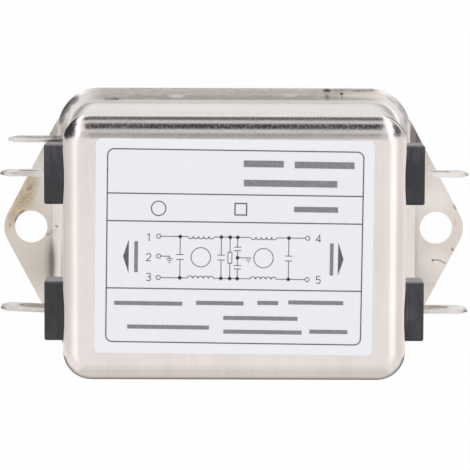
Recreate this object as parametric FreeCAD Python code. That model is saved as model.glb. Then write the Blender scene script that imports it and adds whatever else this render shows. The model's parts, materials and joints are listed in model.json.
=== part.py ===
import FreeCAD, Part
import math
import os

# A chassis-mounted mains filter in a drawn steel can, in millimetres.
# X runs from the line end to the load end. Z runs up from the mounting face to the label.
# The origin is the middle of the footprint, on the mounting face.

# Drawn can
CAN_LENGTH = 59.8
CAN_WIDTH = 46.4
CAN_HEIGHT = 40.0
CAN_SHEET = 0.5
CAN_CORNER = 5.0
FRONT_FILLET = 4.0
DRAW_RADIUS = 1.0

# Shallow dents that the punching of the terminal windows leaves in the end walls
DENT_WIDTH = 10.5
DENT_DEPTH = 0.3
DENT_FROM_LOW = 17.5

# Flange of the can, folded round the edge of the base plate
FLANGE_OVERHANG = 2.6
HEM_BEVEL = 0.5
LIP_WIDTH = 2.4

# Base plate with its two ears
BASE_SHEET = 1.0
BASE_CLEARANCE = 0.1
EAR_REACH = 5.0
EAR_TIP_RADIUS = 5.0
EAR_FLANK_ANGLE = 28.0
EAR_HOLE = 6.0
EAR_SLIT = 0.25
JOGGLE_RUN = 1.0
JOGGLE_RADIUS = 0.5

# Moulded terminal insulators
BLOCK_WIDTH = 10.5
BLOCK_DEPTH = 7.6
BLOCK_PROUD = 3.65
BLOCK_EDGE = 0.25
BLOCK_FROM_SIDE = 11.1
BLOCK_LEVEL = 25.4
NECK_SHOULDER = 0.3
NECK_INSIDE = 2.0
NECK_FIT = 0.05
BARB_HEIGHT = 0.6

# Blade terminals
TAB_WIDTH = 6.3
TAB_SHEET = 0.8
TAB_LENGTH = 7.8
TAB_FIT = 0.05
TIP_CHAMFER = 1.1
TIP_BEVEL_LENGTH = 1.3
TIP_BEVEL_DEPTH = 0.25
SLOT_LENGTH = 3.6
SLOT_WIDTH = 2.0
SLOT_FROM_TIP = 4.9
LEG_WIDTH = 1.7
PIN_WIDTH = 1.2
BENT_ANGLE = 2.7
BENT_OVERLAP = 0.3

# Earth tab, welded to the line end of the can
EARTH_REACH = 10.85
EARTH_FROM_CORNER = 1.0
EARTH_LEVEL = 13.25
EARTH_FOOT = 9.5
EARTH_BEND = 0.5

# Label
LABEL_LENGTH = 48.1
LABEL_WIDTH = 37.3
LABEL_CORNER = 0.9
LABEL_THICKNESS = 0.1
LABEL_SHIFT_X = -0.05
LABEL_SHIFT_Y = 0.5
LABEL_TURN = -0.45

# Circuit board and the insulating sheet under it
BOARD_THICKNESS = 1.6
BOARD_LIFT = 3.5
BOARD_GAP = 1.0
BOARD_CORNER = 3.0
HOLE_FIT = 0.1
PIN_PROUD = 1.2
SHEET_THICKNESS = 0.4
SHEET_GAP = 0.8

# Capacitors across the line
X_CAP_WIDTH = 6.0
X_CAP_HEIGHT = 12.0
X_CAP_EDGE = 0.4
X_CAP_TERMINAL_GAP = 3.1
X_CAP_LEAD_INSET = 1.5
X_CAP_WALL_GAP = 2.5
LEAD = 0.8

# Capacitors to earth
Y_CAP_DIAMETER = 9.0
Y_CAP_THICKNESS = 3.5
Y_CAP_PITCH = 6.0
Y_CAP_LIFT = 1.2
Y_CAP_GAP = 1.0

# Bleed resistor
RESISTOR_BODY = 2.5
RESISTOR_LENGTH = 6.5
RESISTOR_PITCH = 10.0

# Sides of the small round bodies, of the cores, and of the room round a choke
ROD_SIDES = 24
CORE_SIDES = 32
ROOM_SIDES = 12

# Flat facets that stand for the curve of a dent: half widths and depths, as shares of its size
DENT_FACETS = ((-1.3, 1.69), (-0.75, 0.5625), (-0.25, 0.0625), (0.25, 0.0625), (0.75, 0.5625), (1.3, 1.69))

# Common-mode chokes
CORE_RADIUS = 11.0
CORE_BORE = 6.5
WIRE = 1.2
WIRE_SIDES = 6
WIRE_CLEARANCE = 0.1
TURN_GAP = 0.05
WOUND_SECTOR = 120.0
LEAD_STEP = 1.4
CHOKE_GAP = 0.8
CHOKE_LIFT = 0.3
DIVIDER_THICKNESS = 1.0

# Earth wire inside the can
EARTH_WIRE_GAP = 2.0

# Levels and half sizes that follow from the values above
FLANGE_LOW = CAN_SHEET + BASE_SHEET
FLANGE_TOP = FLANGE_LOW + CAN_SHEET
RIM_LENGTH = CAN_LENGTH + 2 * FLANGE_OVERHANG
RIM_WIDTH = CAN_WIDTH + 2 * FLANGE_OVERHANG
RIM_CORNER = CAN_CORNER + FLANGE_OVERHANG
WALL_X = CAN_LENGTH / 2
INNER_X = WALL_X - CAN_SHEET
INNER_Y = CAN_WIDTH / 2 - CAN_SHEET
HOLE_X = RIM_LENGTH / 2 + EAR_REACH
BLOCK_PITCH = CAN_WIDTH - 2 * BLOCK_FROM_SIDE
EARTH_Y = CAN_WIDTH / 2 - CAN_CORNER - EARTH_FROM_CORNER
BOARD_LOW = FLANGE_LOW + BOARD_LIFT
BOARD_TOP = BOARD_LOW + BOARD_THICKNESS
BOARD_EDGE_Y = INNER_Y - BOARD_GAP
PIN_LOW = BOARD_LOW - PIN_PROUD
NECK_END_X = INNER_X - NECK_INSIDE
LEG_X = NECK_END_X - LEG_WIDTH / 2
TIP_X = WALL_X + BLOCK_PROUD + TAB_LENGTH
END_CAP_X = INNER_X - X_CAP_WALL_GAP - X_CAP_WIDTH / 2
X_CAP_LENGTH = BLOCK_PITCH - 2 * X_CAP_TERMINAL_GAP
X_CAP_PITCH = X_CAP_LENGTH - 2 * X_CAP_LEAD_INSET
Y_CAP_Y = X_CAP_LENGTH / 2 + Y_CAP_GAP + Y_CAP_DIAMETER / 2
EARTH_WIRE_X = INNER_X - EARTH_WIRE_GAP
EARTH_WIRE_Y = EARTH_Y - TAB_SHEET / 2

# A choke fills the space between the middle and the end capacitor.
CHOKE_INSIDE_X = X_CAP_WIDTH / 2 + CHOKE_GAP
CHOKE_OUTSIDE_X = END_CAP_X - X_CAP_WIDTH / 2 - CHOKE_GAP
CORE_THICKNESS = CHOKE_OUTSIDE_X - CHOKE_INSIDE_X - 2 * WIRE - 2 * WIRE_CLEARANCE - LEAD_STEP
FACE_RUN = CORE_THICKNESS / 2 + WIRE_CLEARANCE + WIRE / 2
OUTER_RUN = CORE_RADIUS + WIRE_CLEARANCE + WIRE / 2
INNER_RUN = CORE_BORE - WIRE_CLEARANCE - WIRE / 2
CHOKE_X = CHOKE_OUTSIDE_X - WIRE / 2 - FACE_RUN
CHOKE_Z = BOARD_TOP + CHOKE_LIFT + OUTER_RUN + WIRE / 2

# The resistor lies halfway between the wound core and the edge of the board.
RESISTOR_Y = (OUTER_RUN + WIRE / 2 + BOARD_EDGE_Y) / 2

NEAR = 0.001
BEYOND = 1.0


# Shapes that several pieces share

def vector(x, y, z):
    return FreeCAD.Vector(x, y, z)


def box(x_low, x_high, y_low, y_high, z_low, z_high):
    """A block between its low and high side on each axis."""
    corner = vector(x_low, y_low, z_low)
    return Part.makeBox(x_high - x_low, y_high - y_low, z_high - z_low, corner)


def prism(points, sweep):
    """A flat polygon swept along a straight vector."""
    outline = Part.makePolygon(points + points[:1])
    return Part.Face(outline).extrude(sweep)


def rounded(shape, radius, test):
    """The shape with its edges that pass the test rounded."""
    return shape.makeFillet(radius, [edge for edge in shape.Edges if test(edge)])


def bevelled(shape, size, test):
    """The shape with its edges that pass the test cut off at 45 degrees."""
    return shape.makeChamfer(size, [edge for edge in shape.Edges if test(edge)])


def upright(edge):
    return edge.BoundBox.ZLength > NEAR and edge.BoundBox.XLength + edge.BoundBox.YLength < NEAR


def at_level(level):
    """A test for edges that lie flat at one height."""
    def test(edge):
        span = edge.BoundBox
        return abs(span.ZMin - level) < NEAR and abs(span.ZMax - level) < NEAR
    return test


def on_outline(length, width, level):
    """A test for edges at one height that lie on or inside a rectangle."""
    def test(edge):
        span = edge.BoundBox
        within_x = max(-span.XMin, span.XMax) < length / 2 + NEAR
        within_y = max(-span.YMin, span.YMax) < width / 2 + NEAR
        return at_level(level)(edge) and within_x and within_y
    return test


def plate(length, width, z_low, z_high):
    """A square-cornered plate centred on the Z axis."""
    return box(-length / 2, length / 2, -width / 2, width / 2, z_low, z_high)


def slab(length, width, corner, z_low, z_high):
    """A plate centred on the Z axis with round upright corners."""
    return rounded(plate(length, width, z_low, z_high), corner, upright)


def to_side(shape, side):
    """The shape as built for the load end, or mirrored to the line end."""
    if side > 0:
        return shape
    return shape.mirror(vector(0, 0, 0), vector(1, 0, 0))


def joined(shapes):
    """One solid from shapes that meet."""
    return shapes[0].multiFuse(shapes[1:]).removeSplitter()


def wire_along(points, thickness):
    """A wire with flat sides, mitred where it turns at each point of its path."""
    runs = [(after - before).normalize() for before, after in zip(points, points[1:])]
    joints = [(a + b).normalize() for a, b in zip(runs, runs[1:])]
    normals = runs[:1] + joints + runs[-1:]
    along_y = vector(0, 1, 0)
    aside = runs[0].cross(along_y if abs(runs[0].y) < 0.9 else vector(0, 0, 1)).normalize()
    across = runs[0].cross(aside)
    turns = [2 * math.pi * (k + 0.5) / WIRE_SIDES for k in range(WIRE_SIDES)]
    ring = [points[0] + (aside * math.cos(t) + across * math.sin(t)) * (thickness / 2) for t in turns]
    faces = [Part.Face(Part.makePolygon(ring + ring[:1]))]
    for point, run, normal in zip(points[1:], runs, normals[1:]):
        ahead = [p + run * ((point - p).dot(normal) / run.dot(normal)) for p in ring]
        for k in range(WIRE_SIDES):
            after = (k + 1) % WIRE_SIDES
            corners = [ring[k], ring[after], ahead[after], ahead[k], ring[k]]
            faces.append(Part.Face(Part.makePolygon(corners)))
        ring = ahead
    faces.append(Part.Face(Part.makePolygon(ring + ring[:1])))
    wire = Part.makeSolid(Part.makeShell(faces))
    if wire.Volume < 0:
        wire.reverse()
    return wire


def rod(radius, x_low, x_high, y_mid, z_mid, sides):
    """A many-sided bar along X, with its corners on a circle."""
    turns = [2 * math.pi * (k + 0.5) / sides for k in range(sides)]
    corners = [vector(x_low, y_mid + radius * math.cos(t), z_mid + radius * math.sin(t)) for t in turns]
    return prism(corners, vector(x_high - x_low, 0, 0))


def lead(x, y, z_high):
    """A straight lead from a component down through the board."""
    return wire_along([vector(x, y, z_high), vector(x, y, PIN_LOW)], LEAD)


# Housing

def cavity(z_low):
    """The space inside the can from a given level up, with a bevel behind the rounded front edge."""
    top = CAN_HEIGHT - CAN_SHEET
    room = slab(2 * INNER_X, 2 * INNER_Y, CAN_CORNER - CAN_SHEET, z_low, top)
    room = bevelled(room, (FRONT_FILLET - CAN_SHEET) * (2 - math.sqrt(2)), at_level(top))
    for side in (-1, 1):
        for y_mid in block_rows():
            room = room.cut(dent(side, y_mid, INNER_X))
    return room


def dent(side, y_mid, wall_x):
    """A hollow pressed into an end wall, from nothing below the window to its full depth at the front."""
    section = [vector(wall_x + depth * DENT_DEPTH, y_mid + width * DENT_WIDTH / 2, DENT_FROM_LOW)
               for width, depth in DENT_FACETS]
    open_side = [vector(wall_x + BEYOND, point.y, DENT_FROM_LOW) for point in (section[-1], section[0])]
    hollow = prism(section + open_side, vector(0, 0, CAN_HEIGHT))
    rise = CAN_HEIGHT - FRONT_FILLET - DENT_FROM_LOW
    hollow.rotate(vector(wall_x, y_mid, DENT_FROM_LOW), vector(0, 1, 0), -math.degrees(DENT_DEPTH / rise))
    return to_side(hollow, side)


def can():
    """Drawn can with its flange folded into a hem that grips the base plate."""
    body = slab(CAN_LENGTH, CAN_WIDTH, CAN_CORNER, FLANGE_LOW, CAN_HEIGHT)
    body = rounded(body, FRONT_FILLET, at_level(CAN_HEIGHT))
    rim = slab(RIM_LENGTH, RIM_WIDTH, RIM_CORNER, 0, FLANGE_TOP)
    rim = bevelled(rim, HEM_BEVEL, lambda edge: at_level(0)(edge) or at_level(FLANGE_TOP)(edge))
    shell = rounded(body.fuse(rim), DRAW_RADIUS, on_outline(CAN_LENGTH, CAN_WIDTH, FLANGE_TOP))
    hollows = [cavity(FLANGE_LOW), plate_pocket(), lip_opening()]
    for side in (-1, 1):
        hollows.append(ear_passage(side))
        hollows += [window(side, y_mid) for y_mid in block_rows()]
        hollows += [dent(side, y_mid, WALL_X) for y_mid in block_rows()]
    for hollow in hollows:
        shell = shell.cut(hollow)
    return shell.removeSplitter()


def plate_pocket():
    """The space in the hem that the edge of the base plate fills."""
    length = RIM_LENGTH - 2 * CAN_SHEET
    width = RIM_WIDTH - 2 * CAN_SHEET
    return slab(length, width, RIM_CORNER - CAN_SHEET, CAN_SHEET, FLANGE_LOW)


def lip_opening():
    """The middle of the underside, inside the turned lip."""
    length = RIM_LENGTH - 2 * LIP_WIDTH
    width = RIM_WIDTH - 2 * LIP_WIDTH
    return slab(length, width, RIM_CORNER - LIP_WIDTH, -BEYOND, CAN_SHEET)


def ear_passage(side):
    """The break in the hem where an ear comes out."""
    half = ear_half_width() + EAR_SLIT
    inside = RIM_LENGTH / 2 - LIP_WIDTH - BEYOND
    passage = box(inside, RIM_LENGTH / 2 + BEYOND, -half, half, -BEYOND, FLANGE_LOW)
    return to_side(passage, side)


def block_rows():
    """The Y of the neutral and the live terminals."""
    return (-BLOCK_PITCH / 2, BLOCK_PITCH / 2)


def window(side, y_mid):
    """The opening in an end wall for the neck of an insulator."""
    half_y = BLOCK_WIDTH / 2 - NECK_SHOULDER + NECK_FIT
    half_z = BLOCK_DEPTH / 2 - NECK_SHOULDER + NECK_FIT
    hole = box(INNER_X - BEYOND, WALL_X + BEYOND, -half_y, half_y, -half_z, half_z)
    hole.translate(vector(0, y_mid, BLOCK_LEVEL))
    return to_side(hole, side)


def ear_half_width():
    """Half the width of an ear where it leaves the rim."""
    lean = math.radians(EAR_FLANK_ANGLE)
    tangent_x = HOLE_X + EAR_TIP_RADIUS * math.cos(lean)
    tangent_y = EAR_TIP_RADIUS * math.sin(lean)
    return tangent_y + (tangent_x - RIM_LENGTH / 2) / math.tan(lean)


def ear_outline():
    """Plan of one ear: straight flanks that run into a round tip about the hole."""
    lean = math.radians(EAR_FLANK_ANGLE)
    tangent_x = HOLE_X + EAR_TIP_RADIUS * math.cos(lean)
    tangent_y = EAR_TIP_RADIUS * math.sin(lean)
    root_x = RIM_LENGTH / 2 - RIM_CORNER
    rim_x = RIM_LENGTH / 2
    half = ear_half_width()
    upper = [vector(root_x, half, 0), vector(rim_x, half, 0), vector(tangent_x, tangent_y, 0)]
    lower = [vector(p.x, -p.y, 0) for p in reversed(upper)]
    tip = Part.Arc(upper[-1], vector(HOLE_X + EAR_TIP_RADIUS, 0, 0), lower[0]).toShape()
    sides = [Part.makeLine(a, b) for a, b in zip(upper, upper[1:])]
    sides += [tip]
    sides += [Part.makeLine(a, b) for a, b in zip(lower, lower[1:])]
    sides += [Part.makeLine(lower[-1], upper[0])]
    return Part.Face(Part.Wire(sides))


def ear_strip():
    """Side view of one ear: level in the hem, then stepped down to the mounting face."""
    root_x = RIM_LENGTH / 2 - RIM_CORNER
    step_x = RIM_LENGTH / 2
    flat_x = step_x + JOGGLE_RUN
    end_x = HOLE_X + EAR_TIP_RADIUS + BEYOND
    under = [(root_x, CAN_SHEET), (step_x, CAN_SHEET), (flat_x, 0), (end_x, 0)]
    over = [(x, z + BASE_SHEET) for x, z in reversed(under)]
    half = RIM_WIDTH / 2
    points = [vector(x, -half, z) for x, z in under + over]
    strip = prism(points, vector(0, 2 * half, 0))

    def at_bend(edge):
        span = edge.BoundBox
        return span.XLength < NEAR and span.ZLength < NEAR and step_x - NEAR < span.XMin < flat_x + NEAR
    return rounded(strip, JOGGLE_RADIUS, at_bend)


def base_plate():
    """Flat steel plate held in the hem, with a mounting ear at each end."""
    length = RIM_LENGTH - 2 * CAN_SHEET - 2 * BASE_CLEARANCE
    width = RIM_WIDTH - 2 * CAN_SHEET - 2 * BASE_CLEARANCE
    corner = RIM_CORNER - CAN_SHEET - BASE_CLEARANCE
    middle = slab(length, width, corner, CAN_SHEET, FLANGE_LOW)
    plan = ear_outline().extrude(vector(0, 0, FLANGE_LOW + BEYOND))
    ear = ear_strip().common(plan)
    ear = ear.cut(Part.makeCylinder(EAR_HOLE / 2, FLANGE_LOW + BEYOND, vector(HOLE_X, 0, 0)))
    return joined([middle, to_side(ear, 1), to_side(ear, -1)])


def label():
    """Sticker on the front face, stuck on slightly askew."""
    sticker = slab(LABEL_LENGTH, LABEL_WIDTH, LABEL_CORNER, CAN_HEIGHT, CAN_HEIGHT + LABEL_THICKNESS)
    sticker.rotate(vector(0, 0, 0), vector(0, 0, 1), LABEL_TURN)
    sticker.translate(vector(LABEL_SHIFT_X, LABEL_SHIFT_Y, 0))
    return sticker


# Terminals

def insulator(side, y_mid):
    """Moulded block outside the wall, with a barbed neck through its window."""
    half_y = BLOCK_WIDTH / 2
    half_z = BLOCK_DEPTH / 2
    face_x = WALL_X + BLOCK_PROUD
    head = box(WALL_X, face_x, -half_y, half_y, -half_z, half_z)
    head = bevelled(head, BLOCK_EDGE, lambda edge: edge.BoundBox.XMax > WALL_X + NEAR)
    neck_y = half_y - NECK_SHOULDER
    neck_z = half_z - NECK_SHOULDER
    neck = box(NECK_END_X, WALL_X, -neck_y, neck_y, -neck_z, neck_z)
    barb_x = INNER_X - NECK_FIT
    barb_half = neck_z / 2
    wedge = [vector(barb_x, neck_y, -barb_half), vector(barb_x, neck_y + BARB_HEIGHT, -barb_half),
             vector(NECK_END_X, neck_y, -barb_half)]
    barb = prism(wedge, vector(0, 0, 2 * barb_half))
    other_barb = barb.mirror(vector(0, 0, 0), vector(0, 1, 0))
    body = joined([head, neck, barb, other_barb])
    slot_y = TAB_SHEET / 2 + TAB_FIT
    slot_z = TAB_WIDTH / 2 + TAB_FIT
    body = body.cut(box(NECK_END_X - BEYOND, face_x + BEYOND, -slot_y, slot_y, -slot_z, slot_z))
    body.translate(vector(0, y_mid, BLOCK_LEVEL))
    return to_side(body, side)


def tab_tip_waste(tip_x, y_mid, z_mid):
    """What is cut from a blade: its tip corners, its tip bevels and the slot."""
    half_y = TAB_SHEET / 2
    half_z = TAB_WIDTH / 2
    waste = []
    for sign in (-1, 1):
        edge_z = z_mid + sign * half_z
        corner = [vector(tip_x - TIP_CHAMFER, y_mid - half_y, edge_z),
                  vector(tip_x, y_mid - half_y, edge_z),
                  vector(tip_x, y_mid - half_y, edge_z - sign * TIP_CHAMFER)]
        waste.append(prism(corner, vector(0, TAB_SHEET, 0)))
        face_y = y_mid + sign * half_y
        bevel = [vector(tip_x - TIP_BEVEL_LENGTH, face_y, z_mid - half_z),
                 vector(tip_x, face_y, z_mid - half_z),
                 vector(tip_x, face_y - sign * TIP_BEVEL_DEPTH, z_mid - half_z)]
        waste.append(prism(bevel, vector(0, 0, TAB_WIDTH)))
    slot_x = tip_x - SLOT_FROM_TIP
    slot = box(slot_x - SLOT_LENGTH / 2, slot_x + SLOT_LENGTH / 2, y_mid - half_y, y_mid + half_y,
               z_mid - SLOT_WIDTH / 2, z_mid + SLOT_WIDTH / 2)
    waste.append(rounded(slot, SLOT_WIDTH / 2 - NEAR, lambda edge: edge.BoundBox.YLength > NEAR))
    return waste


def blade(side, y_mid, bent):
    """Stamped terminal: blade outside, leg inside down to a pin in the board."""
    half_y = TAB_SHEET / 2
    low_y = y_mid - half_y
    high_y = y_mid + half_y
    low_z = BLOCK_LEVEL - TAB_WIDTH / 2
    high_z = BLOCK_LEVEL + TAB_WIDTH / 2
    hinge_x = WALL_X + BLOCK_PROUD - BENT_OVERLAP
    inner = box(LEG_X - LEG_WIDTH / 2, hinge_x, low_y, high_y, low_z, high_z)
    leg = box(LEG_X - LEG_WIDTH / 2, LEG_X + LEG_WIDTH / 2, low_y, high_y, BOARD_TOP, low_z)
    pin = box(LEG_X - PIN_WIDTH / 2, LEG_X + PIN_WIDTH / 2, low_y, high_y, PIN_LOW, BOARD_TOP)
    outer = box(hinge_x - BENT_OVERLAP, TIP_X, low_y, high_y, low_z, high_z)
    for waste in tab_tip_waste(TIP_X, y_mid, BLOCK_LEVEL):
        outer = outer.cut(waste)
    outer.rotate(vector(hinge_x, y_mid, 0), vector(0, 0, 1), bent)
    return to_side(joined([inner, leg, pin, outer]), side)


def earth_tab():
    """Bent tab with its foot spot-welded flat on the line end of the can."""
    low_z = EARTH_LEVEL - TAB_WIDTH / 2
    high_z = EARTH_LEVEL + TAB_WIDTH / 2
    top_y = EARTH_Y + TAB_SHEET / 2
    foot = box(WALL_X, WALL_X + TAB_SHEET, top_y - EARTH_FOOT, top_y, low_z, high_z)
    arm = box(WALL_X, WALL_X + EARTH_REACH, top_y - TAB_SHEET, top_y, low_z, high_z)
    tab = joined([foot, arm])
    tab = rounded(tab, EARTH_BEND + TAB_SHEET, along_z(WALL_X, top_y))
    tab = rounded(tab, EARTH_BEND, along_z(WALL_X + TAB_SHEET, top_y - TAB_SHEET))
    for waste in tab_tip_waste(WALL_X + EARTH_REACH, EARTH_Y, EARTH_LEVEL):
        tab = tab.cut(waste)
    return to_side(tab, -1)


def along_z(x, y):
    """A test for the upright edge through one point of the plan."""
    def test(edge):
        span = edge.BoundBox
        return upright(edge) and abs(span.XMin - x) < NEAR and abs(span.YMin - y) < NEAR
    return test


# Parts on the circuit board

def x_capacitor(x_mid):
    """Boxed film capacitor that stands on the board across the can."""
    body = box(x_mid - X_CAP_WIDTH / 2, x_mid + X_CAP_WIDTH / 2, -X_CAP_LENGTH / 2, X_CAP_LENGTH / 2,
               BOARD_TOP, BOARD_TOP + X_CAP_HEIGHT)
    body = bevelled(body, X_CAP_EDGE, lambda edge: not at_level(BOARD_TOP)(edge))
    leads = [lead(x_mid, y, BOARD_TOP) for y in (-X_CAP_PITCH / 2, X_CAP_PITCH / 2)]
    return joined([body] + leads)


def y_capacitor(sign):
    """Disc capacitor that stands on two leads beside the middle film capacitor."""
    z_mid = BOARD_TOP + Y_CAP_LIFT + Y_CAP_DIAMETER / 2
    half = Y_CAP_THICKNESS / 2
    disc = rod(Y_CAP_DIAMETER / 2, -half, half, sign * Y_CAP_Y, z_mid, ROD_SIDES)
    leads = [lead(0, y, z_mid) for y in y_cap_lead_rows(sign)]
    return joined([disc] + leads)


def y_cap_lead_rows(sign):
    return [sign * Y_CAP_Y - Y_CAP_PITCH / 2, sign * Y_CAP_Y + Y_CAP_PITCH / 2]


def resistor():
    """Axial resistor lying on the board with both leads bent down."""
    z_mid = BOARD_TOP + RESISTOR_BODY / 2
    y = -RESISTOR_Y
    half = RESISTOR_LENGTH / 2
    pieces = [rod(RESISTOR_BODY / 2, -CHOKE_X - half, -CHOKE_X + half, y, z_mid, ROD_SIDES)]
    for sign in (-1, 1):
        body_end = -CHOKE_X + sign * half
        lead_x = -CHOKE_X + sign * RESISTOR_PITCH / 2
        path = [vector(body_end, y, z_mid), vector(lead_x, y, z_mid), vector(lead_x, y, PIN_LOW)]
        pieces.append(wire_along(path, LEAD))
    return joined(pieces)


def core(side):
    """Ferrite ring that stands on its edge, with its bore along X."""
    low_x = CHOKE_X - CORE_THICKNESS / 2
    high_x = CHOKE_X + CORE_THICKNESS / 2
    bore_corner = CORE_BORE / math.cos(math.pi / CORE_SIDES)
    ring = rod(CORE_RADIUS, low_x, high_x, 0, CHOKE_Z, CORE_SIDES)
    return to_side(ring.cut(rod(bore_corner, low_x, high_x, 0, CHOKE_Z, CORE_SIDES)), side)


def divider(side):
    """Plate across the bore that keeps the two windings apart."""
    half_z = math.sqrt(CORE_BORE ** 2 - (DIVIDER_THICKNESS / 2) ** 2)
    wall = box(CHOKE_X - CORE_THICKNESS / 2, CHOKE_X + CORE_THICKNESS / 2,
               -DIVIDER_THICKNESS / 2, DIVIDER_THICKNESS / 2, CHOKE_Z - half_z, CHOKE_Z + half_z)
    return to_side(wall, side)


def lead_row():
    """The Y of a winding's two leads, at the ends of its sector."""
    return OUTER_RUN * math.cos(math.radians(WOUND_SECTOR / 2))


def winding(side, sign):
    """Enamelled wire wound turn by turn round one half of a core."""
    pitch = (WIRE + TURN_GAP) / INNER_RUN
    sector = math.radians(WOUND_SECTOR)
    count = int(sector / pitch)

    def point(face, radius, turn):
        angle = sector * (turn / count - 0.5)
        return vector(CHOKE_X + face * FACE_RUN, sign * radius * math.cos(angle),
                      CHOKE_Z + radius * math.sin(angle))
    first = point(1, OUTER_RUN, 0)
    path = [vector(first.x, first.y, PIN_LOW)]
    for turn in range(count + 1):
        path.append(point(1, OUTER_RUN, turn))
        path.append(point(1, INNER_RUN, turn))
        path.append(point(-1, INNER_RUN, turn))
        path.append(point(-1, OUTER_RUN, turn))
    last = path[-1]
    path.append(vector(last.x - LEAD_STEP, last.y, last.z))
    path.append(vector(last.x - LEAD_STEP, last.y, PIN_LOW))
    return to_side(wire_along(path, WIRE), side)


def winding_lead_places():
    """Where the leads of every winding pass through the board."""
    outside = CHOKE_X + FACE_RUN
    inside = CHOKE_X - FACE_RUN - LEAD_STEP
    return [(side * x, sign * lead_row()) for side in (-1, 1) for sign in (-1, 1) for x in (outside, inside)]


def earth_wire():
    """Bare wire from the board to the inside of the can, behind the earth tab."""
    path = [vector(-EARTH_WIRE_X, EARTH_WIRE_Y, PIN_LOW), vector(-EARTH_WIRE_X, EARTH_WIRE_Y, EARTH_LEVEL),
            vector(-INNER_X, EARTH_WIRE_Y, EARTH_LEVEL)]
    return wire_along(path, LEAD)


def board():
    """Circuit board with a hole for every lead and pin."""
    laminate = plate(2 * (INNER_X - BOARD_GAP), 2 * BOARD_EDGE_Y, BOARD_LOW, BOARD_TOP)
    laminate = bevelled(laminate, BOARD_CORNER, upright)
    thin = [(x, y) for x in (-END_CAP_X, 0, END_CAP_X) for y in (-X_CAP_PITCH / 2, X_CAP_PITCH / 2)]
    thin += [(0, y) for sign in (-1, 1) for y in y_cap_lead_rows(sign)]
    thin += [(-CHOKE_X + sign * RESISTOR_PITCH / 2, -RESISTOR_Y) for sign in (-1, 1)]
    thin += [(-EARTH_WIRE_X, EARTH_WIRE_Y)]
    holes = [lead_hole(x, y, LEAD) for x, y in thin]
    holes += [lead_hole(x, y, WIRE) for x, y in winding_lead_places()]
    half_x = PIN_WIDTH / 2 + HOLE_FIT
    half_y = TAB_SHEET / 2 + HOLE_FIT
    for x in (-LEG_X, LEG_X):
        for y in block_rows():
            holes.append(box(x - half_x, x + half_x, y - half_y, y + half_y, BOARD_LOW, BOARD_TOP))
    return laminate.cut(Part.makeCompound(holes))


def lead_hole(x, y, thickness):
    """A hole through the board for a wire of one thickness."""
    return wire_along([vector(x, y, BOARD_TOP), vector(x, y, BOARD_LOW)], thickness + 2 * HOLE_FIT)


def insulating_sheet():
    """Sheet that lies on the base plate under the solder side of the board."""
    sheet = plate(2 * (INNER_X - SHEET_GAP), 2 * (INNER_Y - SHEET_GAP), FLANGE_LOW,
                  FLANGE_LOW + SHEET_THICKNESS)
    return bevelled(sheet, BOARD_CORNER, upright)


def wound_ring(side):
    """The room that a wound core and its leads take in the resin."""
    outer_radius = (OUTER_RUN + WIRE / 2) / math.cos(math.pi / ROOM_SIDES)
    low_x = CHOKE_X - FACE_RUN - WIRE / 2
    high_x = CHOKE_X + FACE_RUN + WIRE / 2
    ring = rod(outer_radius, low_x, high_x, 0, CHOKE_Z, ROOM_SIDES)
    ring = ring.cut(rod(INNER_RUN - WIRE / 2, low_x, high_x, 0, CHOKE_Z, ROOM_SIDES))
    reach = WIRE / 2
    row = lead_row()
    rise = OUTER_RUN * math.sin(math.radians(WOUND_SECTOR / 2))
    inside = CHOKE_X - FACE_RUN - LEAD_STEP
    outside = CHOKE_X + FACE_RUN
    rooms = [ring]
    for y in (-row, row):
        low_y = y - reach
        high_y = y + reach
        high_z = CHOKE_Z + rise + reach
        rooms += [box(outside - reach, outside + reach, low_y, high_y, BOARD_TOP, CHOKE_Z - rise),
                  box(inside - reach, CHOKE_X, low_y, high_y, high_z - WIRE, high_z),
                  box(inside - reach, inside + reach, low_y, high_y, BOARD_TOP, high_z)]
    return to_side(joined(rooms), side)


def resin(embedded):
    """Potting resin from the board to the front wall, round everything on the board."""
    fill = cavity(BOARD_TOP)
    for piece in embedded:
        fill = fill.cut(piece)
    return fill


# Every piece by name

def terminals():
    pieces = {}
    for side, end in ((-1, "line"), (1, "load")):
        for y_mid, pole in zip(block_rows(), ("neutral", "live")):
            bent = BENT_ANGLE if (end, pole) == ("line", "neutral") else 0
            pieces[f"insulator_{end}_{pole}"] = insulator(side, y_mid)
            pieces[f"terminal_{end}_{pole}"] = blade(side, y_mid, bent)
    return pieces


def components():
    pieces = {}
    for x_mid, name in ((-END_CAP_X, "line"), (0, "middle"), (END_CAP_X, "load")):
        pieces[f"film_capacitor_{name}"] = x_capacitor(x_mid)
    for sign, pole in ((-1, "neutral"), (1, "live")):
        pieces[f"disc_capacitor_{pole}"] = y_capacitor(sign)
    pieces["bleed_resistor"] = resistor()
    pieces["earth_wire"] = earth_wire()
    for side, end in ((-1, "line"), (1, "load")):
        pieces[f"choke_core_{end}"] = core(side)
        pieces[f"choke_divider_{end}"] = divider(side)
        for sign, pole in ((-1, "neutral"), (1, "live")):
            pieces[f"choke_winding_{end}_{pole}"] = winding(side, sign)
    return pieces


def build():
    pieces = {"can": can(), "base_plate": base_plate(), "label": label(), "earth_tab": earth_tab()}
    pieces.update(terminals())
    pieces.update(components())
    pieces["circuit_board"] = board()
    pieces["insulating_sheet"] = insulating_sheet()
    wound = ("choke_core", "choke_winding")
    embedded = [pieces[name] for name in components() if not name.startswith(wound)]
    embedded += list(terminals().values())
    embedded += [wound_ring(side) for side in (-1, 1)]
    pieces["potting_resin"] = resin(embedded)
    return pieces


def main():
    os.makedirs("parts", exist_ok=True)
    for name, shape in build().items():
        shape.exportStep(f"parts/{name}.step")


main()
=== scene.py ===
import json
import math
from typing import NamedTuple

import bmesh
import bpy
from mathutils import Matrix, Vector


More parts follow.
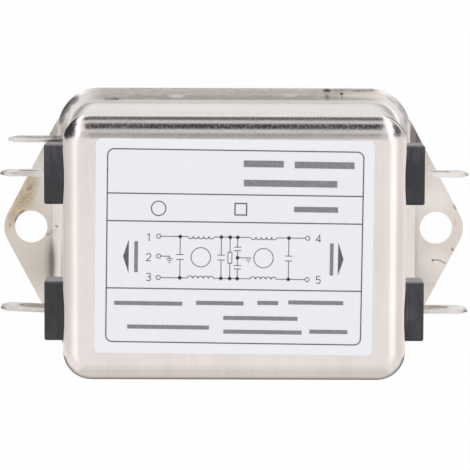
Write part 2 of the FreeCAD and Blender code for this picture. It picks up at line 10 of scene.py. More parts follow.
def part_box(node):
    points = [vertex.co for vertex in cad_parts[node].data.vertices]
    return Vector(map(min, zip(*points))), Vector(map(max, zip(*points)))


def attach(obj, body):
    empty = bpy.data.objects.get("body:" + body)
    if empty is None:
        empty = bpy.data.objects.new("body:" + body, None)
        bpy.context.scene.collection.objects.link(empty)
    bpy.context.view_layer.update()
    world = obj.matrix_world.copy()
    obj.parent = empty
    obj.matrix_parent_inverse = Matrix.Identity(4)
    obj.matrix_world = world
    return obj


# Looks of a chassis-mounted mains filter. Lengths are in millimetres and turns in degrees.

# A millimetre in the metres of Blender
MM = 0.001
BODY = "root"
LABEL_SLOT = "label_paper"

# Camera: place, turns, and the lens on a 36 mm sensor
CAMERA_PLACE = (-2.497, 59.0, 584.897)
CAMERA_TURNS = (-5.9092, -0.2686, 0.1705)
CAMERA_LENS = 242.6
CAMERA_SENSOR = 36.0
# The nearest and the farthest that it sees, in metres
CAMERA_CLIP = (0.01, 20.0)

# Colours, as linear values
WHITE = (1.0, 1.0, 1.0)
NICKEL = (0.83, 0.76, 0.73)
NICKEL_SHADE = (0.75, 0.69, 0.67)
PLATE_NICKEL = (0.78, 0.72, 0.675)
PLATE_SHADE = (0.68, 0.62, 0.57)
STAIN = (0.41, 0.335, 0.205)
STAIN_PALE = (0.70, 0.565, 0.40)
STAIN_DARK = (0.22, 0.16, 0.09)
# Dark marks: real scuffs and scratches, and also painted shade, painted shadow and painted dark reflections
DARK_WEAR_AND_PAINTED_SHADE = (0.12, 0.105, 0.095)
TIN = (0.78, 0.715, 0.68)
TIN_SHADE = (0.62, 0.57, 0.545)
TIN_STREAK = (0.33, 0.30, 0.28)
TAB_TIN = (0.90, 0.86, 0.83)
TAB_SHADE = (0.72, 0.68, 0.65)
BLACK_PLASTIC = (0.020, 0.0185, 0.023)
BLACK_PLASTIC_DUST = (0.064, 0.057, 0.075)
# Painted shade on the edges of the blocks and on the block at the lower left
BLACK_PLASTIC_PAINTED_SHADE = (0.012, 0.0112, 0.0125)
# Painted sheen on the faces of the blocks that are turned to +Y
BLACK_PLASTIC_PAINTED_SHEEN = (0.36, 0.335, 0.35)
PAPER = (0.86, 0.865, 0.895)
PAPER_SHADE = (0.83, 0.835, 0.865)
INK = (0.090, 0.090, 0.098)
INK_FADED = (0.150, 0.150, 0.160)
PALE_INK = (0.20, 0.20, 0.212)
PALE_INK_FADED = (0.27, 0.27, 0.28)

# Centre of a round corner of the can in plan, and its radius
CORNER_CENTRE = (24.9, 18.2)
CORNER_RADIUS = 5.0

# The print on the label, from the middle of its frame
PRINT_TURN = -0.66
PRINT_MIDDLE = (-0.013, 0.503)
PRINT_RISE = 0.03
PRINT_THICKNESS = 0.02
FRAME_LENGTH = 44.2
FRAME_WIDTH = 33.55
FRAME_CORNER = 1.1
FRAME_LINE = 0.2
DIVIDERS = (9.1, 4.3, -7.4)
FINE_LINE = 0.13


# Helpers for node trees

def blank_material(name):
    """A new material, its tree and its main shader."""
    material = bpy.data.materials.new(name)
    material.use_nodes = True
    tree = material.node_tree
    return material, tree, tree.nodes["Principled BSDF"]


def put(tree, value, socket):
    """Links a socket to an input, or sets the input to a plain value."""
    if isinstance(value, bpy.types.NodeSocket):
        tree.links.new(value, socket)
    elif socket.type == "RGBA" and len(value) == 3:
        socket.default_value = (*value, 1.0)
    else:
        socket.default_value = value


def node(tree, kind, inputs, **settings):
    """A shader node with its settings and inputs."""
    made = tree.nodes.new("ShaderNode" + kind)
    for name, value in settings.items():
        setattr(made, name, value)
    for key, value in inputs.items():
        put(tree, value, made.inputs[key])
    return made


def on_object(tree, source="Object"):
    """The place on the object, or the direction that its surface faces."""
    return node(tree, "TexCoord", {}).outputs[source]


def along(tree, letter, source="Object"):
    """The same along one axis only."""
    return node(tree, "SeparateXYZ", {0: on_object(tree, source)}).outputs[letter]


def noise(tree, kind):
    """Noise from 0 to 1, of one of the kinds below."""
    per_metre, detail, shift = kind
    place = node(tree, "Mapping", {"Vector": on_object(tree), "Scale": per_metre}).outputs["Vector"]
    inputs = {"Vector": place, "W": shift, "Scale": 1.0, "Detail": detail}
    return node(tree, "TexNoise", inputs, noise_dimensions="4D").outputs["Fac"]


def span(tree, value, low, high, to_low=0.0, to_high=1.0):
    """Moves a value smoothly from one range to another and holds it there."""
    inputs = {"Value": value, "From Min": low, "From Max": high, "To Min": to_low, "To Max": to_high}
    return node(tree, "MapRange", inputs, interpolation_type="SMOOTHSTEP").outputs["Result"]


def calculate(tree, operation, first, second=0.0):
    return node(tree, "Math", {0: first, 1: second}, operation=operation).outputs["Value"]


def add(tree, first, second):
    return calculate(tree, "ADD", first, second)


def times(tree, first, second):
    return calculate(tree, "MULTIPLY", first, second)


def blend(tree, factor, first, second):
    """A colour between two colours."""
    return node(tree, "Mix", {0: factor, 6: first, 7: second}, data_type="RGBA").outputs[2]


def bump(tree, height, strength, depth_mm):
    inputs = {"Height": height, "Strength": strength, "Distance": depth_mm * MM}
    return node(tree, "Bump", inputs).outputs["Normal"]


def length(tree, vector):
    return node(tree, "VectorMath", {0: vector}, operation="LENGTH").outputs["Value"]


def turned_about(tree, middle_mm, turn, scale):
    """The place on the object, seen from a middle, turned about Z and divided by a scale."""
    inputs = {"Vector": on_object(tree), "Location": [value * MM for value in middle_mm],
              "Rotation": (0, 0, math.radians(turn)), "Scale": scale}
    return node(tree, "Mapping", inputs, vector_type="TEXTURE").outputs["Vector"]


def between(tree, low_mm, high_mm, softness_mm):
    """1 between two heights and 0 below and above them."""
    height = along(tree, "Z")
    over = span(tree, height, (low_mm - softness_mm) * MM, (low_mm + softness_mm) * MM)
    under = span(tree, height, (high_mm - softness_mm) * MM, (high_mm + softness_mm) * MM, 1.0, 0.0)
    return times(tree, over, under)


def set_inputs(tree, shader, **inputs):
    """Sets the inputs of a shader, by their names with spaces written as underscores."""
    for name, value in inputs.items():
        put(tree, value, shader.inputs[name.replace("_", " ")])


# Noises: lumps for a metre along X, Y and Z, detail, and shift to another part of the noise
FRONT_LINES = ((5200, 120, 120), 4.0, 0.0)
END_WALL_LINES = ((120, 5200, 120), 4.0, 3.0)
STEEL_CLOUDS = ((95, 60, 95), 4.0, 1.0)
STEEL_STRIPES = ((420, 25, 120), 2.0, 2.0)
STEEL_PATCHES = ((560, 480, 560), 4.0, 11.0)
STEEL_DIMPLES = ((2300, 2300, 2300), 2.0, 5.0)
# Noises of the painted streaky reflections on the far side of the rim
DARK_REFLECTION_STREAKS = ((650, 3300, 400), 4.0, 9.0)
PALE_REFLECTION_STREAKS = ((420, 2500, 400), 4.0, 10.0)
PULLED_GRAIN = ((1100, 450, 450), 2.5, 6.0)
PULLED_SPECKS = ((2900, 1500, 1500), 3.0, 8.0)
MARK_EDGES = ((600, 600, 600), 3.0, 0.0)
MARK_SPECKS = ((2200, 2200, 2200), 4.0, 7.0)
DIE_LINES = ((300, 5000, 3000), 4.0, 0.0)
TIN_CLOUDS = ((260, 260, 260), 4.0, 2.0)
DULL_STREAKS = ((150, 1900, 1900), 4.0, 5.0)
FLOW_MARKS = ((260, 180, 420), 5.0, 4.0)
RUBBED_DUST = ((1500, 190, 420), 4.0, 7.0)
WORN_ENAMEL = ((900, 900, 900), 4.0, 0.0)
PAPER_FIBRES = ((900, 1400, 900), 5.0, 0.0)
PAPER_CLOUDS = ((70, 70, 70), 3.0, 2.0)
INK_PATCHES = ((2600, 2600, 2600), 4.0, 0.0)
FLOOR_GRAIN = ((300, 300, 300), 2.0, 0.0)


# Marks: stains and wear, and painted shade, painted highlights and painted reflections

class Mark(NamedTuple):
    """A soft ellipsoid on the part, turned about Z, with an uneven edge if it is ragged."""
    middle: tuple
    radii: tuple
    colour: tuple
    strength: float
    turn: float = 0.0
    ragged: float = 0.0
    dull: float = 0.2


def spot(tree, mark):
    """How much of a mark shows: up to its strength inside its ellipsoid, and 0 outside it."""
    away = length(tree, turned_about(tree, mark.middle, mark.turn, [radius * MM for radius in mark.radii]))
    if mark.ragged:
        wander = span(tree, noise(tree, MARK_EDGES), 0.3, 0.7, -mark.ragged, mark.ragged)
        inside = span(tree, add(tree, away, wander), 0.1, 1.1, 1.0, 0.0)
        inside = times(tree, inside, span(tree, noise(tree, MARK_SPECKS), 0.35, 0.62, 0.25, 1.0))
    else:
        inside = span(tree, away, 0.3, 1.0, 1.0, 0.0)
    return times(tree, inside, mark.strength)


PLATE_MARKS = (
    # Greyer ears, and lighter parts above and below the hole of the right one
    Mark((-38.0, -2.0, 1), (9.0, 13.0, 3), (0.62, 0.555, 0.49), 0.65, dull=0.0),
    Mark((36.5, -1.0, 1), (7.5, 6.0, 3), (0.66, 0.59, 0.54), 0.45, dull=0.0),
    Mark((37.4, 5.4, 1), (3.5, 3.5, 3), (0.84, 0.78, 0.73), 0.8, dull=0.0),
    Mark((37.2, -6.9, 1), (4.0, 4.0, 3), (0.88, 0.81, 0.74), 0.6, dull=0.0),
    # Painted shade in the bends beside the can, and painted dark reflections of the blocks on the ears above
    # the blocks
    Mark((-33.1, 0.0, 0.8), (1.0, 24.0, 2.5), (0.60, 0.56, 0.53), 0.7, dull=0.1),
    Mark((32.9, 0.0, 0.8), (0.8, 24.0, 2.5), (0.60, 0.56, 0.53), 0.75, dull=0.1),
    Mark((33.7, -2.0, 0.9), (0.8, 10.0, 2.5), (0.58, 0.51, 0.45), 0.4, dull=0.1),
    Mark((-33.8, -6.6, 1), (1.7, 6.5, 3), (0.34, 0.30, 0.28), 0.5),
    Mark((-33.7, -6.8, 1), (0.8, 5.2, 3), (0.17, 0.145, 0.135), 0.7),
    Mark((33.5, 17.2, 1), (2.4, 4.6, 3), (0.19, 0.165, 0.155), 0.95),
    Mark((-33.2, 18.0, 1), (1.6, 2.8, 3), (0.36, 0.36, 0.30), 0.85),
    # Stain along the outer edge of the left ear
    Mark((-38.0, 7.2, 1), (2.5, 4.4, 3), STAIN_PALE, 0.6, turn=-18),
    Mark((-39.5, 4.3, 1), (2.8, 3.2, 3), STAIN_PALE, 0.65, turn=-30),
    Mark((-41.0, 1.4, 1), (1.4, 3.2, 3), STAIN_PALE, 0.6, turn=-22),
    Mark((-37.6, 7.6, 1), (1.9, 3.2, 3), STAIN, 0.5, turn=-15, ragged=0.2),
    Mark((-39.1, 4.8, 1), (2.5, 2.4, 3), STAIN, 0.5, turn=-30, ragged=0.2),
    Mark((-40.9, 2.1, 1), (1.2, 2.4, 3), STAIN, 0.5, turn=-25, ragged=0.2),
    Mark((-37.9, 7.2, 1), (0.7, 1.0, 3), STAIN_DARK, 0.5, turn=-25, ragged=0.3),
    Mark((-41.4, 0.3, 1), (0.4, 0.55, 3), DARK_WEAR_AND_PAINTED_SHADE, 0.6, ragged=0.15),
    Mark((-40.25, 1.5, 1), (0.32, 1.2, 3), STAIN_DARK, 0.7, turn=-28),
    Mark((-39.3, 2.7, 1), (0.32, 1.0, 3), STAIN_DARK, 0.7, turn=-52),
    # Scuffs on the other side of its hole
    Mark((-32.7, 0.1, 1), (0.6, 0.3, 3), STAIN_DARK, 0.7, turn=-20),
    Mark((-33.6, -0.9, 1), (0.9, 0.5, 3), STAIN, 0.6, turn=20, ragged=0.2),
    Mark((-34.4, -1.4, 1), (0.5, 0.3, 3), DARK_WEAR_AND_PAINTED_SHADE, 0.45),
    # Scratch and nicks on the right ear
    Mark((37.0, -6.05, 1), (0.4, 0.32, 3), DARK_WEAR_AND_PAINTED_SHADE, 0.85),
    Mark((37.9, -6.0, 1), (1.1, 0.2, 3), DARK_WEAR_AND_PAINTED_SHADE, 0.65, turn=-4),
    Mark((38.9, -6.4, 1), (0.9, 0.2, 3), DARK_WEAR_AND_PAINTED_SHADE, 0.6, turn=-26),
    Mark((41.0, 3.9, 1), (0.4, 0.9, 3), STAIN_DARK, 0.65, turn=25),
    Mark((40.6, -4.0, 1), (0.4, 0.5, 3), STAIN_DARK, 0.6),
    Mark((41.0, 1.2, 1), (0.5, 1.0, 3), STAIN, 0.3, turn=10, ragged=0.4, dull=0.1),
)
CAN_MARKS = (
    # Brighter corners of the rim as painted highlights, and greyer corners as painted shade where the wall
    # meets it
    Mark((-29.4, 22.8, 1.6), (6.5, 4.5, 1.6), (0.99, 0.95, 0.93), 1.0, turn=40, dull=0.0),
    Mark((29.4, 22.8, 1.6), (6.5, 4.5, 1.6), (0.99, 0.95, 0.93), 1.0, turn=-40, dull=0.0),
    Mark((-28.6, 21.9, 2.85), (3.8, 3.8, 0.95), (0.66, 0.64, 0.62), 0.9, dull=0.1),
    Mark((28.6, 21.9, 2.85), (3.8, 3.8, 0.95), (0.66, 0.64, 0.62), 0.9, dull=0.1),
    # Bright line and bright spots on its far side
    Mark((24.5, 24.6, 2), (7.0, 0.75, 1), (1.0, 0.93, 0.82), 0.8, dull=0.0),
    Mark((-10.6, 24.35, 2), (2.1, 0.55, 1), (0.92, 0.84, 0.82), 0.9, dull=0.0),
    Mark((10.2, 24.6, 2), (2.1, 0.5, 1), (0.88, 0.82, 0.77), 0.8, dull=0.0),
    # Brighter ends of the rim, as painted highlights
    Mark((-32.2, 0.0, 1.4), (0.8, 24.0, 2), (1.0, 0.97, 0.96), 0.9, dull=0.0),
    Mark((32.2, 0.0, 1.4), (0.8, 24.0, 2), (1.0, 0.97, 0.96), 0.6, dull=0.0),
    # Painted dark reflections: an arc on the rim's left corner and thin grey lines on its right one
    Mark((-29.5, 23.45, 2), (1.7, 0.75, 1), DARK_WEAR_AND_PAINTED_SHADE, 0.75, turn=41, dull=0.1),
    Mark((-30.8, 21.95, 2), (1.7, 0.8, 1), DARK_WEAR_AND_PAINTED_SHADE, 0.75, turn=57, dull=0.1),
    Mark((-31.6, 20.2, 2), (1.7, 0.65, 1), DARK_WEAR_AND_PAINTED_SHADE, 0.6, turn=74, dull=0.1),
    Mark((29.0, 23.7, 2), (1.6, 0.28, 1), DARK_WEAR_AND_PAINTED_SHADE, 0.4, turn=-41, dull=0.1),
    Mark((30.6, 22.0, 2), (1.6, 0.28, 1), DARK_WEAR_AND_PAINTED_SHADE, 0.45, turn=-57, dull=0.1),
    Mark((31.5, 20.0, 2), (1.6, 0.28, 1), DARK_WEAR_AND_PAINTED_SHADE, 0.4, turn=-74, dull=0.1),
    # Dark marks on the rim
    Mark((-22.7, 23.8, 2), (1.7, 0.35, 1), DARK_WEAR_AND_PAINTED_SHADE, 0.9, ragged=0.3),
    Mark((17.1, 25.45, 1.8), (1.1, 0.5, 1), DARK_WEAR_AND_PAINTED_SHADE, 0.95),
    Mark((17.1, 24.2, 2), (0.7, 0.9, 1), DARK_WEAR_AND_PAINTED_SHADE, 0.6, ragged=0.15),
    Mark((19.8, 24.85, 2), (0.45, 0.4, 1), DARK_WEAR_AND_PAINTED_SHADE, 0.95),
    Mark((19.9, 24.2, 2), (0.3, 0.5, 1), DARK_WEAR_AND_PAINTED_SHADE, 0.4),
    Mark((23.0, 25.5, 1.8), (5.0, 0.3, 0.8), DARK_WEAR_AND_PAINTED_SHADE, 0.7, ragged=0.4),
)
BLADE_MARKS = (
    # Dark outer ends, as painted shade
    Mark((-41.4, 12.45, 28.5), (1.2, 1.2, 7), DARK_WEAR_AND_PAINTED_SHADE, 0.85),
    Mark((-41.4, -12.1, 28.5), (1.2, 1.2, 7), DARK_WEAR_AND_PAINTED_SHADE, 0.85),
    Mark((41.4, 12.7, 28.5), (1.2, 1.2, 7), DARK_WEAR_AND_PAINTED_SHADE, 0.85),
    Mark((41.4, -12.4, 28.5), (1.2, 1.2, 7), DARK_WEAR_AND_PAINTED_SHADE, 0.85),
    # Brighter blades at the load end
    Mark((37.6, 12.5, 27.5), (5.0, 1.6, 7), (0.92, 0.86, 0.82), 0.65),
    Mark((37.6, -12.3, 27.5), (5.0, 1.6, 7), (0.92, 0.86, 0.82), 0.2),
)
TAB_MARKS = (
    # Dark outer end, as painted shade, and a dark line beside the can, as painted shadow in the gap between
    # the tab and the block
    Mark((-40.8, 17.3, 16.4), (0.7, 0.6, 1.5), DARK_WEAR_AND_PAINTED_SHADE, 0.6),
    Mark((-33.1, 17.1, 14), (2.2, 0.3, 9), DARK_WEAR_AND_PAINTED_SHADE, 0.9),
)
# Blocks: middle of the front of one, its two upright edges, and its lower edge from its middle
BLOCK_MIDDLE = (31.7, 12.1, 29.2)
BLOCK_UPRIGHTS = (30.0, 33.65)
BLOCK_LOWER_EDGE = 5.3
# Radii of the marks on a whole block, on an upright edge and on a lower edge
ON_BLOCK = (4.0, 8.0, 4.0)
ON_UPRIGHT = (0.55, 8.0, 4.0)
ON_LOWER_EDGE = (3.0, 0.8, 4.0)


def block_marks():
    """Painted shade on the edges round the dusty front of each block, and over the whole block at the lower
    left.
    """
    out, across, level = BLOCK_MIDDLE
    marks = [Mark((-out, -across, level), ON_BLOCK, BLACK_PLASTIC_PAINTED_SHADE, 0.5)]
    for end, side in ((-1, -1), (-1, 1), (1, -1), (1, 1)):
        edges = [((end * x, side * across, level), ON_UPRIGHT) for x in BLOCK_UPRIGHTS]
        edges.append(((end * out, side * across - BLOCK_LOWER_EDGE, level), ON_LOWER_EDGE))
        marks += [Mark(middle, radii, BLACK_PLASTIC_PAINTED_SHADE, 0.8) for middle, radii in edges]
    return marks


# Plated steel

# How much clouds, patches, lines and stripes darken the sheet
CLOUD_TONE = 0.6
PLATE_PATCH_TONE = 0.3
CAN_PATCH_TONE = 0.08
LINE_TONE = 0.25
STRIPE_TONE = 0.35
# Roughness of the sheet, and how much clouds and lines add to it
PLATE_ROUGHNESS = 0.26
CAN_ROUGHNESS = 0.19
CLOUD_ROUGHNESS = 0.05
LINE_ROUGHNESS = 0.07
# Strength and depth of the relief, and the share of the lines in it
PLATE_RELIEF = (0.1, 0.03)
CAN_RELIEF = (0.16, 0.03)
LINE_RELIEF = 0.5
# Levels of the rim, of the bend above it and of the wall
RIM_LEVELS = (-1.0, 2.12)
BEND_LEVELS = (2.12, 3.3)
WALL_LEVELS = (3.3, 35.5)
WALL_NICKEL = (0.93, 0.915, 0.87)
# Bands of the can: low and high level, how much duller than the front face, colour and its share
BANDS = (
    (*RIM_LEVELS, 0.14, (0.715, 0.66, 0.615), 0.85),
    (*BEND_LEVELS, 0.55, WALL_NICKEL, 0.95),
    (*WALL_LEVELS, 0.34, WALL_NICKEL, 0.95),
)
BAND_SOFTNESS = 0.12
# The inner part of the rim is darker with painted shade where it meets the wall, up to this far from the
# wall and this softly
RIM_INSIDE = 1.3
RIM_INSIDE_SOFTNESS = 0.2
RIM_PAINTED_SHADE = (0.585, 0.535, 0.50)
# It fades to a share, from the first to the second of these distances along the can
RIM_FADE = (17.0, 21.5)
RIM_FADED = 0.25
# Where the far side of the rim starts, softly
FAR_RIM = (18.0, 22.5)
# Painted streaky reflections there: noise, where they start and are full in it, their share and colour
RIM_REFLECTION_STREAKS = (
    (DARK_REFLECTION_STREAKS, 0.42, 0.66, 0.6, (0.55, 0.515, 0.48)),
    (PALE_REFLECTION_STREAKS, 0.5, 0.7, 0.5, (0.84, 0.79, 0.75)),
)
# Where the rounded far edge of the front face starts, softly
FAR_EDGE = (19.6, 20.6)
# Levels of the whole edge and of its upper part, and how softly they end
WHOLE_EDGE = (35.5, 42.0, 0.4)
UPPER_EDGE = (38.6, 42.0, 0.3)
# How much deeper the grain is there than on the flat sheet, and how much duller it makes its specks
PULL_DEPTH = 3.0
PULL_DULLNESS = 0.1
# Share of that grain on the lower part of the edge
LOW_EDGE_PULL = 0.35


def steel_clouds(tree, patch_tone, roughness):
    """Tone and roughness of plated sheet, before its lines and marks."""
    clouds = noise(tree, STEEL_CLOUDS)
    tone = add(tree, span(tree, clouds, 0.35, 0.7, 0.0, CLOUD_TONE),
               span(tree, noise(tree, STEEL_PATCHES), 0.4, 0.7, 0.0, patch_tone))
    return tone, span(tree, clouds, 0.4, 0.8, roughness, roughness + CLOUD_ROUGHNESS)


def drawn_lines(tree):
    """Streaks along the way the sheet was drawn: up the walls and across the front face."""
    facing = calculate(tree, "ABSOLUTE", along(tree, "X", "Normal"))
    inputs = {0: span(tree, facing, 0.6, 0.8), 2: noise(tree, FRONT_LINES), 3: noise(tree, END_WALL_LINES)}
    return node(tree, "Mix", inputs, data_type="FLOAT").outputs[0]


def lay_marks_and_painted_light(tree, colour, rough, marks):
    """Lays marks on plated sheet, stains and wear with painted shade, highlights and reflections among them,
    and gives its new colour and roughness.
    """
    for mark in marks:
        share = spot(tree, mark)
        colour = blend(tree, share, colour, mark.colour)
        rough = add(tree, rough, times(tree, share, mark.dull))
    return colour, rough


def plate_steel():
    """Nickel-plated flat sheet: soft clouds and fine dimples, with stains, wear, painted shade and painted
    reflections laid on top.
    """
    material, tree, shader = blank_material("nickel_plate")
    tone, rough = steel_clouds(tree, PLATE_PATCH_TONE, PLATE_ROUGHNESS)
    colour, rough = lay_marks_and_painted_light(tree, blend(tree, tone, PLATE_NICKEL, PLATE_SHADE), rough, PLATE_MARKS)
    set_inputs(tree, shader, Base_Color=colour, Metallic=1.0, Roughness=rough,
               Normal=bump(tree, noise(tree, STEEL_DIMPLES), *PLATE_RELIEF))
    return material


def can_steel():
    """Nickel-plated drawn sheet: with drawing lines, duller walls, a rolled rim with painted shade and
    painted streaky reflections, a pulled edge, and marks that include painted highlights, shade and
    reflections.
    """
    material, tree, shader = blank_material("nickel_can")
    lines = drawn_lines(tree)
    tone, rough = steel_clouds(tree, CAN_PATCH_TONE, CAN_ROUGHNESS)
    tone = add(tree, tone, span(tree, lines, 0.3, 0.75, 0.0, LINE_TONE))
    tone = add(tree, tone, span(tree, noise(tree, STEEL_STRIPES), 0.35, 0.7, 0.0, STRIPE_TONE))
    rough = add(tree, rough, span(tree, lines, 0.3, 0.8, 0.0, LINE_ROUGHNESS))
    colour = blend(tree, tone, NICKEL, NICKEL_SHADE)
    for low, high, dullness, band_colour, share in BANDS:
        inside = between(tree, low, high, BAND_SOFTNESS)
        rough = add(tree, rough, times(tree, inside, dullness))
        colour = blend(tree, times(tree, inside, share), colour, band_colour)
    colour, rough = lay_marks_and_painted_light(tree, rolled_rim(tree, colour), rough, CAN_MARKS)
    edge = far_edge(tree)
    pulled = times(tree, times(tree, noise(tree, PULLED_GRAIN), edge), PULL_DEPTH)
    relief = add(tree, times(tree, lines, LINE_RELIEF), noise(tree, STEEL_DIMPLES))
    specks = span(tree, noise(tree, PULLED_SPECKS), 0.5, 0.62, 0.0, PULL_DULLNESS)
    rough = add(tree, rough, times(tree, specks, edge))
    set_inputs(tree, shader, Base_Color=colour, Metallic=1.0, Roughness=rough,
               Normal=bump(tree, add(tree, relief, pulled), *CAN_RELIEF))
    return material


def rolled_rim(tree, colour):
    """Paints shade on the inner part of the rim and streaky reflections on its far side."""
    on_rim = between(tree, *RIM_LEVELS, BAND_SOFTNESS)
    colour = blend(tree, times(tree, close_to_wall(tree), on_rim), colour, RIM_PAINTED_SHADE)
    far = times(tree, on_rim, span(tree, along(tree, "Y"), FAR_RIM[0] * MM, FAR_RIM[1] * MM))
    for kind, start, end, share, streak_colour in RIM_REFLECTION_STREAKS:
        streaks = span(tree, noise(tree, kind), start, end, 0.0, share)
        colour = blend(tree, times(tree, streaks, far), colour, streak_colour)
    return colour


def close_to_wall(tree):
    """1 on the part of the rim next to the wall of the can, less towards its ends, and 0 outside it."""
    reach = node(tree, "VectorMath", {0: on_object(tree)}, operation="ABSOLUTE").outputs["Vector"]
    # The high third value leaves the height out.
    centre = (CORNER_CENTRE[0] * MM, CORNER_CENTRE[1] * MM, 1.0)
    past = node(tree, "VectorMath", {0: reach, 1: centre}, operation="SUBTRACT").outputs["Vector"]
    past = node(tree, "VectorMath", {0: past, 1: (0, 0, 0)}, operation="MAXIMUM").outputs["Vector"]
    edge = CORNER_RADIUS + RIM_INSIDE
    close = span(tree, length(tree, past), (edge - RIM_INSIDE_SOFTNESS) * MM,
                 (edge + RIM_INSIDE_SOFTNESS) * MM, 1.0, 0.0)
    out = node(tree, "SeparateXYZ", {0: reach}).outputs["X"]
    return times(tree, close, span(tree, out, RIM_FADE[0] * MM, RIM_FADE[1] * MM, 1.0, RIM_FADED))


def far_edge(tree):
    """1 on the upper part of the rounded far edge of the front face, less on its lower part, 0 elsewhere."""
    at_side = span(tree, along(tree, "Y"), FAR_EDGE[0] * MM, FAR_EDGE[1] * MM)
    upper = times(tree, between(tree, *UPPER_EDGE), 1 - LOW_EDGE_PULL)
    whole = times(tree, between(tree, *WHOLE_EDGE), LOW_EDGE_PULL)
    return times(tree, at_side, add(tree, upper, whole))


# Other materials

# Share of the dull streaks on the blades and on the earth tab, and roughness of both
BLADE_STREAKS = 0.5
TAB_STREAKS = 0.25
TIN_ROUGHNESS = (0.17, 0.32)
# Share of the rubbed streaks in the dust, and what the flow marks add to the roughness of plastic
RUBBED_SHARE = 0.75
FLOW_ROUGHNESS = (-0.06, 0.08)
# Clear enamel, and share of the dark threads in a weave
ENAMEL_SHARE = 0.6
ENAMEL_ROUGHNESS = 0.08
THREAD_SHARE = 0.5
# Label stock: how much clouds, fibres and the printed frame shade it, and its roughness
PAPER_CLOUD_TONE = 0.35
FIBRE_TONE = 0.21
FRAMED_TONE = 0.55
PAPER_ROUGHNESS = (0.42, 0.52)
INK_ROUGHNESS = 0.6
# Reliefs: strength and depth
TIN_RELIEF = (0.25, 0.02)
PLASTIC_RELIEF = (0.35, 0.04)
ENAMEL_RELIEF = (0.15, 0.03)
WEAVE_RELIEF = (0.2, 0.03)
PAPER_RELIEF = (0.12, 0.03)
INK_RELIEF = (0.1, 0.01)
# Plastics and resins: slot, then name, colour, colour of the flow marks, roughness and fineness of the grain
MOULDED = {
    "core_ferrite": ("green_epoxy", (0.04, 0.16, 0.07), (0.06, 0.20, 0.10), 0.35, 1500),
    "divider_plastic": ("natural_plastic", (0.72, 0.68, 0.56), (0.65, 0.60, 0.48), 0.45, 4200),
    "film_capacitor_plastic": ("yellow_box", (0.68, 0.40, 0.02), (0.60, 0.36, 0.03), 0.3, 4200),
    "disc_capacitor_coat": ("blue_dip", (0.02, 0.12, 0.42), (0.03, 0.15, 0.48), 0.3, 900),
    "resistor_coat": ("tan_lacquer", (0.55, 0.42, 0.24), (0.48, 0.36, 0.20), 0.35, 1200),
    "resin": ("potting_resin", (0.012, 0.012, 0.014), (0.02, 0.02, 0.022), 0.3, 700),
}
# Laminates: slot, then name, colour, colour of the threads, threads for a metre and roughness
WOVEN = {
    "board_laminate": ("green_laminate", (0.05, 0.22, 0.07), (0.03, 0.14, 0.05), 2500, 0.35),
    "sheet_insulation": ("pressed_paper", (0.52, 0.42, 0.26), (0.42, 0.33, 0.20), 1800, 0.8),
}
# Wires: slot, then name, colour of the metal, colour of the enamel and roughness
ENAMELLED = {
    "winding_copper": ("enamelled_copper", (0.62, 0.24, 0.10), (0.50, 0.16, 0.06), 0.25),
    "earth_wire_copper": ("tinned_wire", (0.70, 0.66, 0.60), (0.60, 0.56, 0.50), 0.3),
}


def tinned(name, bright, shade, streaked, marks):
    """Tinned blade: bright flats with fine die lines, dull streaks, and marks that include painted shade and
    painted shadow.
    """
    material, tree, shader = blank_material(name)
    lines = noise(tree, DIE_LINES)
    colour = blend(tree, span(tree, noise(tree, TIN_CLOUDS), 0.35, 0.7), bright, shade)
    colour = blend(tree, span(tree, noise(tree, DULL_STREAKS), 0.52, 0.7, 0.0, streaked), colour, TIN_STREAK)
    for mark in marks:
        colour = blend(tree, spot(tree, mark), colour, mark.colour)
    rough = span(tree, lines, 0.25, 0.75, *TIN_ROUGHNESS)
    set_inputs(tree, shader, Base_Color=colour, Metallic=1.0, Roughness=rough,
               Normal=bump(tree, lines, *TIN_RELIEF))
    return material


def moulded(name, colour, dust, roughness, grain_per_metre, painted_sheen=None, marks=()):
    """Moulded or cast plastic: fine grain and flow marks, and if asked, rubbed dust with marks, and a
    painted sheen on the faces turned to +Y.
    """
    material, tree, shader = blank_material(name)
    flow = noise(tree, FLOW_MARKS)
    mixed = blend(tree, span(tree, flow, 0.4, 0.66), colour, dust)
    if marks:
        rubbed = span(tree, noise(tree, RUBBED_DUST), 0.44, 0.66, 0.0, RUBBED_SHARE)
        mixed = blend(tree, rubbed, mixed, colour)
    for mark in marks:
        mixed = blend(tree, spot(tree, mark), mixed, mark.colour)
    # A painted sheen: lighter colour on the faces turned to +Y
    if painted_sheen:
        mixed = blend(tree, span(tree, along(tree, "Y", "Normal"), 0.6, 0.9), mixed, painted_sheen)
    grain = noise(tree, ((grain_per_metre,) * 3, 3.0, 0.0))
    rough = span(tree, flow, 0.3, 0.7, *[roughness + more for more in FLOW_ROUGHNESS])
    set_inputs(tree, shader, Base_Color=mixed, Roughness=rough, Normal=bump(tree, grain, *PLASTIC_RELIEF))
    return material


def enamelled(name, metal, lacquer, roughness):
    """Wire with a clear coloured enamel over the metal."""
    material, tree, shader = blank_material(name)
    wear = noise(tree, WORN_ENAMEL)
    colour = blend(tree, span(tree, wear, 0.4, 0.75), metal, lacquer)
    set_inputs(tree, shader, Base_Color=colour, Metallic=1.0, Roughness=roughness,
               Coat_Weight=ENAMEL_SHARE, Coat_Roughness=ENAMEL_ROUGHNESS,
               Normal=bump(tree, wear, *ENAMEL_RELIEF))
    return material


